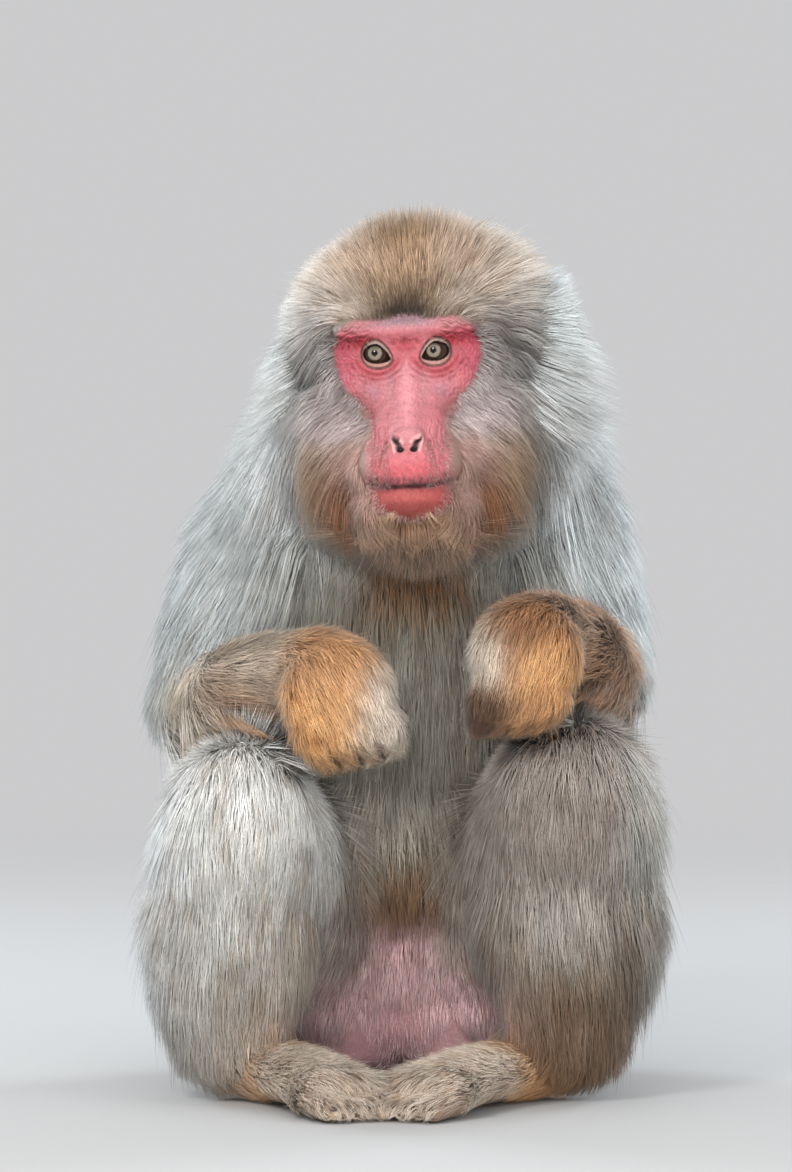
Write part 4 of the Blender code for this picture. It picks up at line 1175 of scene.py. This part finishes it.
# %% Lean neighbouring tips together
CLUMP_SPACING = 0.0065
CLUMP_PULL = 0.24
MOST_LEAN = 0.006
clump_step = max(1, int(TUFTS * CLUMP_SPACING**2 / areas.sum()))
clumps = root[::clump_step]
tree = KDTree(len(clumps))
for i, place in enumerate(clumps.tolist()):
    tree.insert(place, i)
tree.balance()
mate = np.array([tree.find(place)[1] for place in root.tolist()]) * clump_step
same = (part[mate] == part) & ((normal[mate] * normal).sum(1) > 0.5)
lean = (tip[mate] - tip) * (CLUMP_PULL * same * ramp(depth, 0.010, 0.028))[:, None]
reach = np.linalg.norm(lean, axis=1)[:, None]
tip = tip + lean * np.minimum(1, MOST_LEAN / np.maximum(reach, 1e-9))
print("locks", len(clumps))

# %% Keep the tips inside the coat's outline
TIP_CLEAR = 0.0006           # tips stay this far above the floor
LEAST_DOWN = -0.15           # the outline is shaded as facing no further down, or its underside turns black
outside = np.empty((TUFTS, 3))
proud = np.where(guard, 0.0020 + 0.0100 * rng.random(TUFTS), 0.0008 + 0.0030 * rng.random(TUFTS) ** 3)
for i, (place, most) in enumerate(zip(tip.tolist(), proud.tolist())):
    spot_on, facing, _, _ = envelope_tree.find_nearest(place)
    outside[i] = facing
    if (Vector(place) - spot_on).dot(facing) > most:
        tip[i] = spot_on + facing * most
outside[:, 2] = np.maximum(outside[:, 2], LEAST_DOWN)
span = np.linalg.norm(tip - root, axis=1)
tip = root + (tip - root) * np.minimum(1, 1.15 * np.maximum(long, tall) / np.maximum(span, 1e-9))[:, None]
tip[:, 2] = np.maximum(tip[:, 2], TIP_CLEAR)
bend = root + 0.36 * (tip - root) + normal * (0.34 * tall)[:, None]
bend[:, 2] = np.maximum(bend[:, 2], TIP_CLEAR)
print("longest tuft in mm", round(float(np.linalg.norm(tip - root, axis=1).max()) * 1000))
print("tips kept inside", round(float(tip[:, 2].min()) * 1000, 2), "mm above the floor at the least")


# %% Tufts as arrays
def mesh_of(name, points, triangles):
    """A mesh from arrays of points and triangles."""
    mesh = bpy.data.meshes.new(name)
    mesh.vertices.add(len(points))
    mesh.vertices.foreach_set("co", points.astype(np.float32).ravel())
    mesh.loops.add(triangles.size)
    mesh.loops.foreach_set("vertex_index", triangles.astype(np.int32).ravel())
    mesh.polygons.add(len(triangles))
    mesh.polygons.foreach_set("loop_start", np.arange(0, triangles.size, 3, dtype=np.int32))
    mesh.update(calc_edges=True)
    mesh.shade_smooth()
    return mesh


TUFT_POINTS = 5
TUFT_FACES = np.array([(0, 2, 1), (0, 3, 2), (0, 1, 3), (1, 2, 4), (2, 3, 4), (3, 1, 4)])


def spindles(root, bend, tip, half):
    """Five points a tuft: the root, a ring of three where it bends, and the tip."""
    way = unit(tip - root)
    side = unit(np.cross(way, np.where(np.abs(way[:, 2:]) < 0.9, (0, 0, 1.0), (1.0, 0, 0))))
    other = np.cross(way, side)
    ring = [bend + half[:, None] * (math.cos(turn) * side + math.sin(turn) * other)
            for turn in (0, 2 * math.pi / 3, 4 * math.pi / 3)]
    points = np.stack((root, *ring, tip), 1)
    triangles = (np.arange(len(root)) * TUFT_POINTS)[:, None, None] + TUFT_FACES
    return points, triangles.reshape(-1, 3)


def add_unwrap(mesh, places):
    """Writes an unwrap: one place for each corner of each face."""
    layer = mesh.uv_layers.new(name="OFBake")
    layer.uv.foreach_set("vector", places.astype(np.float32).ravel())


def paint(mesh, colours):
    """Stores a colour in each point of the mesh."""
    layer = mesh.color_attributes.new("tone", "FLOAT_COLOR", "POINT")
    rgba = np.ones((len(colours), 4), np.float32)
    rgba[:, :3] = colours
    layer.data.foreach_set("color", rgba.ravel())


# %% [markdown]
# ## Finishes
#
# Skin is soft, slightly see-through and finely creased; hair is dull with a faint sheen. The colours along
# each tuft are held by its points, dark at the root and pale at the tip, and the material breaks them up with
# noise.


# %% The coat's material
def tone_with_noise(tree, shader, scale, low, high, detail=3.0):
    """Leads the tone held by the points, lightened and darkened by noise, to the base colour."""
    tone = add_node(tree, "Attribute", attribute_name="tone")
    coordinates = add_node(tree, "TexCoord")
    noise = add_node(tree, "TexNoise", {"Scale": scale, "Detail": detail})
    spread = add_node(tree, "MapRange", {"From Min": 0.3, "From Max": 0.7, "To Min": low, "To Max": high})
    scaled = add_node(tree, "VectorMath", operation="SCALE")
    link(tree, (coordinates, "Object", noise, "Vector"), (noise, "Fac", spread, "Value"),
         (tone, "Color", scaled, 0), (spread, "Result", scaled, "Scale"),
         (scaled, "Vector", shader, "Base Color"))
    return coordinates


coat_look, tree, shader = new_material("winter coat", {
    "Roughness": 0.62, "Specular IOR Level": 0.25, "Sheen Weight": 0.12, "Sheen Roughness": 0.4})
tone_with_noise(tree, shader, 60, 0.84, 1.14)
print("nodes in the coat's material", len(tree.nodes))

# %% [markdown]
# ## Coat pieces
#
# The tufts are joined into one piece for each part of the body, and two for the head, whose coat is densest.
# In a real coat each hair has its own shade, whole locks are lighter or darker, and some locks show a warm
# streak; all three are drawn here and stored in the tufts' points. Light should fall on the coat as on one
# soft body and not on each sliver alone, so the shading normals lean towards the skin's and the outline's.


# %% Where a tuft lies on the unwrap
def unwrap(points, node):
    """Places on an unwrap of the skin: once round the part's own axis, and along it."""
    low, high = boxes[node]
    centre = (low + high) / 2
    tall = (high - low)[2] >= 0.6 * (high - low)[:2].max()
    gap = points - centre
    if tall:
        around, along = np.arctan2(gap[:, 0], -gap[:, 1]), gap[:, 2]
    else:
        around, along = np.arctan2(gap[:, 0], -gap[:, 2]), gap[:, 1]
    across = around / (2 * np.pi) + 0.5
    along = (along - along.min()) / max(np.ptp(along), 1e-6)
    return UNWRAP_FROM + UNWRAP_SPAN * np.stack((across, along), 1)


UNWRAP_FROM, UNWRAP_SPAN = 0.004, 0.988
PATCH = 0.003
# Places in the patch that a tuft's five points take: its root below, the ring across, its tip above.
PATCH_PLACES = np.array([(0.5, 0), (0, 0.45), (0.5, 0.55), (1, 0.45), (0.5, 1)]) * PATCH
print("a tuft's patch is", PATCH, "of the unwrap")

# %% Shades of hairs and locks
LOCK_SPREAD, GUARD_SHADE = 0.07, 0.72
HALF_WIDTH, GUARD_WIDTH, QUICK_WIDTH = 0.00031, 0.7, 1.6
brightness = np.exp(rng.normal(0, 1, TUFTS) * at_roots(lie_ticking))
lock = mate // clump_step
lock_shade = np.exp(rng.normal(0, LOCK_SPREAD, lock.max() + 1))
brightness = (brightness * lock_shade[lock] * np.where(guard, GUARD_SHADE, 1.0))[:, None]
streak = rng.random(lock.max() + 1)[lock] + rng.normal(0, 0.12, TUFTS)
streak = 0.65 * ramp(streak, 0.68, 0.95)[:, None]
colour_root = colour_root + (0.8 * colour_streak - colour_root) * streak
colour_tip = colour_tip + (colour_streak - colour_tip) * streak
half_width = HALF_WIDTH * width * np.clip(rng.normal(1, 0.2, TUFTS), 0.5, 1.5)
half_width *= np.where(guard, GUARD_WIDTH, 1.0)
print("hairs with a streak", int((streak > 0).sum()))

# %% One coat piece for each part of the body
ROOT_SUNK, ROOT_CLEAR, RING_CLEAR = 0.0006, 0.0008, 0.0003       # into the skin, and above the floor
coat_pieces = {}
for index, node in enumerate(COAT_NODES):
    mine = np.nonzero(part == index)[0]
    if len(mine) == 0:
        continue
    batches = np.array_split(mine[np.argsort(root[mine, 0])], math.ceil(len(mine) / MOST_PER_PIECE))
    for number, batch in enumerate(batches):
        name = "coat_" + node + ("" if len(batches) == 1 else "_" + "abcdefgh"[number])
        start = root[batch] - normal[batch] * ROOT_SUNK
        start[:, 2] = np.maximum(start[:, 2], ROOT_CLEAR)
        points, triangles = spindles(start, bend[batch], tip[batch], half_width[batch])
        points[:, :, 2] = np.maximum(points[:, :, 2], RING_CLEAR)
        mesh = mesh_of(name, points.reshape(-1, 3), triangles)
        shades = np.repeat((colour_root[batch] * brightness[batch])[:, None], TUFT_POINTS, 1)
        shades[:, 1:4] = ((0.55 * colour_root[batch] + 0.45 * colour_tip[batch]) * brightness[batch])[:, None]
        shades[:, 4] = colour_tip[batch] * brightness[batch]
        paint(mesh, np.clip(shades.reshape(-1, 3), 0, 1))
        soft = unit(0.35 * normal[batch] + 0.45 * outside[batch] + 0.25 * unit(points[:, 4] - points[:, 0]))
        ring = points - points.mean(1)[:, None]
        ring = unit(ring.reshape(-1, 3)).reshape(ring.shape)
        facing = unit((0.8 * soft[:, None] + 0.6 * ring).reshape(-1, 3))
        custom = mesh.attributes.new("custom_normal", "FLOAT_VECTOR", "POINT")
        custom.data.foreach_set("vector", facing.astype(np.float32).ravel())
        places = (unwrap(root[batch], node)[:, None] + PATCH_PLACES).reshape(-1, 2)
        add_unwrap(mesh, places[triangles.ravel()])
        mesh.materials.append(coat_look)
        piece = new_object(name, mesh)
        coat_pieces[name] = (piece, node)
print("coat pieces", {name: len(piece.data.polygons) for name, (piece, _) in coat_pieces.items()})

# %% [markdown]
# ## Colours of the skin
#
# The bare face isn't one red. It is deepest on the brows and round the eyes, paler down the bridge of the
# nose and at its tip, greyer on the cheeks, and warmer on the lower lip. Its creases, the nostrils, the
# mouth's line and the lids' edges are darkened as painted shade, and the upper rim of each nostril is
# lightened as a painted highlight. Each is laid over the last as a tint with soft edges, given in the head's
# own frame. Skin under the coat takes the roots' colour, so that no gap between tufts looks pale.

# %% The face's flushes, then its mottling
PINK = linear(186, 112, 118)
mask_tone = np.tile(PINK, (len(skin_points), 1))
side, back, up = np.abs(local_points[:, 0]), local_points[:, 1], local_points[:, 2]
eye_ring = np.hypot(side - EYE[0], up)


def tint(tones, colour, amount):
    """Moves tones towards a screen colour, by an amount from 0 to 1."""
    return tones + (linear(*colour) - tones) * np.clip(amount, 0, 1)[:, None]


brow_red = ramp(side, 0.010, 0.024) * hump(up - 0.0066, 0.0058)
pale_bridge = hump(side, 0.0065) * ramp(up, -0.004, -0.012) * ramp(up, -0.050, -0.030)
beside_bridge = hump(side - 0.0105, 0.0035) * ramp(up, -0.008, -0.014) * ramp(up, -0.036, -0.024)
nose_tip = hump(side, 0.0100) * hump(up + 0.0470, 0.0060)
cheek_grey = hump(side - 0.0200, 0.0060) * hump(up + 0.0225, 0.0060)
# painted shade in the face's creases above the mouth: the deeper the skin sinks, the darker it is coloured
wrinkle_shade = ramp(creases(side, back, up), 0.0003, 0.0014) * ramp(up, MOUTH_HEIGHT, MOUTH_HEIGHT + 0.004)
for colour, amount in (
    ((154, 44, 52), 0.90 * brow_red),
    ((156, 54, 64), 0.85 * hump(side, 0.011) * hump(up - 0.0045, 0.0060)),
    ((172, 64, 74), 0.65 * hump(eye_ring - 0.0125, 0.0040) * ramp(up, 0.002, -0.006)),
    ((178, 76, 92), 0.65 * ramp(side, 0.026, 0.038) * ramp(up, -0.030, -0.008)),
    ((176, 116, 122), 0.80 * ramp(up, 0.0110, 0.0165)),
    ((152, 126, 136), 0.90 * ramp(up, 0.0135, 0.0190) * ramp(side, 0.024, 0.008)),
    ((206, 138, 146), 0.85 * pale_bridge),
    ((176, 122, 128), 0.60 * beside_bridge),
    ((206, 152, 154), 0.40 * nose_tip),
    ((164, 118, 130), 0.60 * cheek_grey),
    ((192, 82, 90), 0.65 * hump(up + 0.0685, 0.0075) * ramp(side, 0.026, 0.012)),
    ((168, 80, 76), 0.90 * ramp(up, MOUTH_HEIGHT, MOUTH_HEIGHT - 0.003)),
    # painted shade in the creases
    ((112, 32, 42), 0.60 * wrinkle_shade),
):
    mask_tone = tint(mask_tone, colour, amount)
MASK_DIMMED = (0.81, 0.80, 0.80)
mottle = waves(skin_points, 0.0040) * waves(skin_points + 0.3, 0.0090)
mask_tone = mask_tone * (1 + 0.16 * mottle + 0.08 * waves(skin_points, 0.0023))[:, None]
mask_tone = mask_tone * MASK_DIMMED
print("mean tone of the face", np.round(mask_tone[beyond_mask < 0].mean(0), 3))

# %% Lids, mouth and nostrils
opening = eye_opening(side, up)
crease = lid_crease(side, up)
lids = (opening > 0) & (crease < 0.0002)
# how dark the painted shade in the lids' crease is; it is darker above the eye than below
lid_crease_shade = 0.80 + 0.18 * ramp(up, -0.004, 0.004)
# painted shade along the mouth's groove, a dark line between the lips
fold = hump(up - mouth_height(side), 0.0006) * ramp(side, MOUTH_HALF, MOUTH_HALF - 0.003)
from_nostril = stretch(np.stack((side, back, up), 1), *NOSTRIL)
# painted highlight along the upper rim of each nostril
rim = hump(from_nostril - 0.0018, 0.0009) * ramp(up + 0.9 * (side - 0.0036), -0.0560, -0.0535)
for colour, amount in (
    ((140, 122, 112), 0.90 * lids * ramp(up, -0.001, 0.001)),
    ((170, 134, 124), 0.88 * lids * ramp(up, 0.001, -0.001)),
    # painted shade in the crease round the lids
    ((44, 10, 12), lid_crease_shade * hump(crease, 0.00075)),
    # painted shade, near black, along the edges of the eye's opening, where the lids tuck in against the
    # eyeball
    ((22, 10, 9), 0.99 * ramp(opening, 0.0009, 0.0004) * ramp(eye_ring, 0.0125, 0.0115)),
    # painted shade in the mouth's line
    ((66, 26, 26), 0.9 * fold),
    # painted shade, near black, inside the nostrils
    ((14, 5, 5), ramp(from_nostril, 0.0011, 0.0003)),
    # painted highlight on the nostrils' upper rims
    ((228, 182, 176), 0.65 * rim),
):
    mask_tone = tint(mask_tone, colour, amount)
print("points on the lids", int(lids.sum()))

# %% The whole skin's tone
BARE_DENSITY = 0.4           # below this density the coat is only a down, and the skin shows as flesh
DENSITY = 9                  # the density's place in a row of lie_rows
thin = [i for i, row in enumerate(lie_rows) if row[DENSITY] <= BARE_DENSITY]
bare_low = weights[:, thin].sum(1)
seat_dark = ramp(skin_points[:, 2], 0.016, 0.006) * (nearest_part == COAT_NODES.index("rump"))
skin_tone = lie_root * 0.9
skin_tone = tint(skin_tone, (206, 152, 156), 0.75 * bare_low + 0.8 * bare_ear)
skin_tone = tint(skin_tone, (92, 76, 76), seat_dark)
skin_tone = skin_tone + (mask_tone - skin_tone) * (1 - ramp(beyond_mask, -0.001, 0.0045))[:, None]
paint(skin.data, np.clip(skin_tone, 0, 1))
print("places with a down only", len(thin))

# %% The skin's material
skin_look, tree, shader = new_material("bare skin", {
    "Roughness": 0.56, "Specular IOR Level": 0.35, "Subsurface Weight": 0.12,
    "Subsurface Radius": (0.006, 0.002, 0.001), "Subsurface Scale": 0.5})
coordinates = tone_with_noise(tree, shader, 520, 0.88, 1.12, 6.0)
grain = add_node(tree, "TexVoronoi", {"Scale": 620}, feature="DISTANCE_TO_EDGE")
fine = add_node(tree, "TexNoise", {"Scale": 420, "Detail": 5})
both_grains = add_node(tree, "Math", operation="ADD")
bump = add_node(tree, "Bump", {"Strength": 0.7, "Distance": 0.0006})
link(tree, (coordinates, "Object", grain, "Vector"), (coordinates, "Object", fine, "Vector"),
     (grain, "Distance", both_grains, 0), (fine, "Fac", both_grains, 1),
     (both_grains, "Value", bump, "Height"), (bump, "Normal", shader, "Normal"))
skin.data.materials.append(skin_look)
loop_points = np.empty(len(skin.data.loops), np.int32)
skin.data.loops.foreach_get("vertex_index", loop_points)
UNWRAP_MIDDLE = 0.03         # the unwrap goes round an upright line this far behind the origin
spread = np.stack((np.arctan2(skin_points[:, 0], -(skin_points[:, 1] - UNWRAP_MIDDLE)) / (2 * np.pi) + 0.5,
                   skin_points[:, 2] / skin_points[:, 2].max()), 1)
add_unwrap(skin.data, spread[loop_points])
print("nodes in the skin's material", len(tree.nodes))

# %% [markdown]
# ## Eyes
#
# A macaque's eye fills its lids: a grey-brown iris with a dark rim and a small pupil, and hardly any white.
# Each eyeball is a fine ball with a bulging cornea, and the rings of colour are drawn by the distance from
# the line of sight. The lids' shadow is part of the colour, so the iris gets darker towards its top.

# %% The eye's material
IRIS_STOPS = (               # distance from the line of sight in cm, and the colour there
    (0.0, (0.003, 0.003, 0.005)), (0.205, (0.002, 0.002, 0.003)), (0.235, (0.06, 0.045, 0.032)),
    (0.30, (0.20, 0.165, 0.125)), (0.44, (0.18, 0.145, 0.105)), (0.49, (0.040, 0.026, 0.014)),
    (0.54, (0.010, 0.006, 0.004)), (0.64, (0.030, 0.017, 0.009)), (0.90, (0.016, 0.008, 0.005)))
TO_CM = 100.0
eye_look, tree, shader = new_material("eye", {
    "Roughness": 0.06, "Specular IOR Level": 0.35, "Coat Weight": 0.0, "Coat Roughness": 0.02})
coordinates = add_node(tree, "TexCoord")
parts, flat = add_node(tree, "SeparateXYZ"), add_node(tree, "CombineXYZ")
ring = add_node(tree, "VectorMath", operation="LENGTH")
size = add_node(tree, "Math", {1: TO_CM}, operation="MULTIPLY")
noise = add_node(tree, "TexNoise", {"Scale": 700, "Detail": 4})
wobble = add_node(tree, "Math", {1: 0.10}, operation="MULTIPLY_ADD")
rings = add_node(tree, "ValToRGB")
while len(rings.color_ramp.elements) < len(IRIS_STOPS):
    rings.color_ramp.elements.new(0.5)
for element, (position, colour) in zip(rings.color_ramp.elements, IRIS_STOPS):
    element.position = position
    element.color = (*colour, 1)
shade = add_node(tree, "MapRange", {"From Min": 0.0012, "From Max": 0.0040, "To Min": 1.0, "To Max": 0.25})
scaled = add_node(tree, "VectorMath", operation="SCALE")
link(tree, (coordinates, "Object", parts, "Vector"), (parts, "X", flat, "X"), (parts, "Z", flat, "Z"),
     (flat, "Vector", ring, 0), (ring, "Value", size, 0), (coordinates, "Object", noise, "Vector"),
     (noise, "Fac", wobble, 0), (size, "Value", wobble, 2), (wobble, "Value", rings, "Fac"),
     (parts, "Z", shade, "Value"), (rings, "Color", scaled, 0), (shade, "Result", scaled, "Scale"),
     (scaled, "Vector", shader, "Base Color"))
print("stops in the iris", len(IRIS_STOPS))

# %% Eyeballs
GAZE = Matrix.Rotation(math.radians(-7), 4, "Z") @ Matrix.Rotation(math.radians(-4), 4, "X")
CORNEA_HIGH, CORNEA_WIDE = 0.0007, 0.0042
for side in SIDES:
    bm = bmesh.new()
    bmesh.ops.create_uvsphere(bm, u_segments=64, v_segments=48, radius=EYE_RADIUS,
                              matrix=Matrix.Rotation(math.pi / 2, 4, "X"))
    for vert in bm.verts:
        off_sight = math.hypot(vert.co.x, vert.co.z)
        if vert.co.y < 0:
            vert.co.y -= CORNEA_HIGH * math.exp(-((off_sight / CORNEA_WIDE) ** 2))
    mesh = mesh_from("eyeball_" + side, bm)
    mesh.shade_smooth()
    mesh.materials.append(eye_look)
    eyeball = new_object("eyeball_" + side, mesh)
    eyeball.matrix_world = Matrix.Translation(middle("eye_" + side)) @ head_turn.to_3x3().to_4x4() @ GAZE
    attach(eyeball, "root")
    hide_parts("eye_" + side)
print("eyeballs", len(SIDES))

# %% [markdown]
# ## Whiskers and down
#
# Short dark hairs stand along the upper lip and hang over the mouth, and a thin pale down covers the muzzle,
# the chin's edge and the upper rim of the mask. They are the same spindles as the coat, only much finer, so
# the bare face doesn't end in a hard line.


# %% Fine hairs of the face
def face_hairs(name, chosen, count, length, way, colours):
    """Fine hairs on the chosen points of the skin; way is in the head's frame, colours are root and tip."""
    rows = rng.choice(np.nonzero(chosen)[0], count)
    spread = rng.normal(0, 0.0005, (count, 3))
    start = skin_points[rows] + spread - skin_normals[rows] * (spread * skin_normals[rows]).sum(1)[:, None]
    outward = np.sign(local_points[rows, 0])[:, None] * HEAD_AXES[0]
    heading = way[0] * outward + way[1] * HEAD_AXES[1] + way[2] * HEAD_AXES[2]
    heading = unit(unit(heading + rng.normal(0, 0.25, (count, 3))) + 0.55 * skin_normals[rows])
    long = length * np.clip(rng.normal(1, 0.25, count), 0.4, 1.6)
    tips = start + heading * long[:, None]
    bends = start + 0.45 * heading * long[:, None] + skin_normals[rows] * (0.12 * long)[:, None]
    points, triangles = spindles(start - 0.0003 * skin_normals[rows], bends, tips, np.full(count, FACE_HAIR))
    mesh = mesh_of(name, points.reshape(-1, 3), triangles)
    lightness = np.exp(rng.normal(0, 0.2, count))[:, None]
    shades = np.repeat((lightness * linear(*colours[0]))[:, None], TUFT_POINTS, 1)
    shades[:, 4] = linear(*colours[1])
    paint(mesh, np.clip(shades.reshape(-1, 3), 0, 1))
    places = (unwrap(start, "face")[:, None] + PATCH_PLACES).reshape(-1, 2)
    add_unwrap(mesh, places[triangles.ravel()])
    mesh.materials.append(coat_look)
    piece = new_object(name, mesh)
    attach(piece, "root")
    return piece


FACE_HAIR = 0.00009          # half a hair's width
side = np.abs(local_points[:, 0])
in_front = (beyond_mask < 0.004) & (back < 0.010)
mouth_line = mouth_height(side)
lip = in_front & (up > mouth_line + 0.0008) & (up < mouth_line + 0.0070) & (side < MOUTH_HALF + 0.001)
whiskers = face_hairs("whiskers", lip, 560, 0.0032, (0.20, 0.0, -1.0), ((58, 40, 38), (96, 76, 72)))
beside_mouth = (up < -0.052) & (up > mouth_line) & (side > 0.010)
chin_edge = (up < -0.086) & (beyond_mask > -0.005)
cheek_edge = (side > 0.012) & (up < -0.030) & (beyond_mask > -0.004)
downy = in_front & (beside_mouth | chin_edge | (up > 0.0165) | cheek_edge)
down = face_hairs("face_down", downy, 5200, 0.0030, (0.5, 0.2, -0.8), ((186, 136, 132), (226, 190, 184)))
print("whiskers", len(whiskers.data.polygons), "down", len(down.data.polygons))

# %% [markdown]
# ## Nails
#
# A macaque has flat, slightly domed nails, dark horn in colour, one on the back of each digit's end. Each is
# a closed ball flattened into a plate and laid along its digit.

# %% One plate for each digit
NAIL_SHARES = (0.55, 0.75, 0.24)       # half a nail's width, length and thickness, in its digit's radii
NAIL_FACING = {"hand": Vector((0, -0.85, 0.5)), "foot": Vector((0, 0, 1))}
bm = bmesh.new()
for kind, start, end, radius in nail_places:
    along = Vector(end - start).normalized()
    outward = NAIL_FACING[kind]
    outward = (outward - along * outward.dot(along)).normalized()
    turn = Matrix((along.cross(outward), along, outward)).transposed().to_4x4()
    place = Vector(end) + along * radius * 0.70 + outward * radius * 0.55
    size = Matrix.Diagonal((*(radius * share for share in NAIL_SHARES), 1))
    bmesh.ops.create_icosphere(bm, subdivisions=3, radius=1, matrix=Matrix.Translation(place) @ turn @ size)
mesh = mesh_from("nails", bm)
mesh.shade_smooth()
nail_look, tree, shader = new_material("horn", {"Roughness": 0.34})
coordinates = add_node(tree, "TexCoord")
noise = add_node(tree, "TexNoise", {"Scale": 500})
horn = add_node(tree, "ValToRGB")
horn.color_ramp.elements[0].color = (0.030, 0.020, 0.016, 1)
horn.color_ramp.elements[1].color = (0.110, 0.076, 0.060, 1)
link(tree, (coordinates, "Object", noise, "Vector"), (noise, "Fac", horn, "Fac"),
     (horn, "Color", shader, "Base Color"))
mesh.materials.append(nail_look)
nails = new_object("nails", mesh)
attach(nails, "root")
print("nails", len(nail_places), "faces", len(mesh.polygons))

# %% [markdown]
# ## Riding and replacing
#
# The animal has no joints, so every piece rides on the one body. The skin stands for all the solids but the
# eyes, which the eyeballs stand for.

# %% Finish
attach(skin, "root")
bare_nodes = [node for node in boxes if not node.startswith("eye_")]
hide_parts(*bare_nodes)
for piece, node in coat_pieces.values():
    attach(piece, "root")
print("coat pieces on the body", len(coat_pieces))
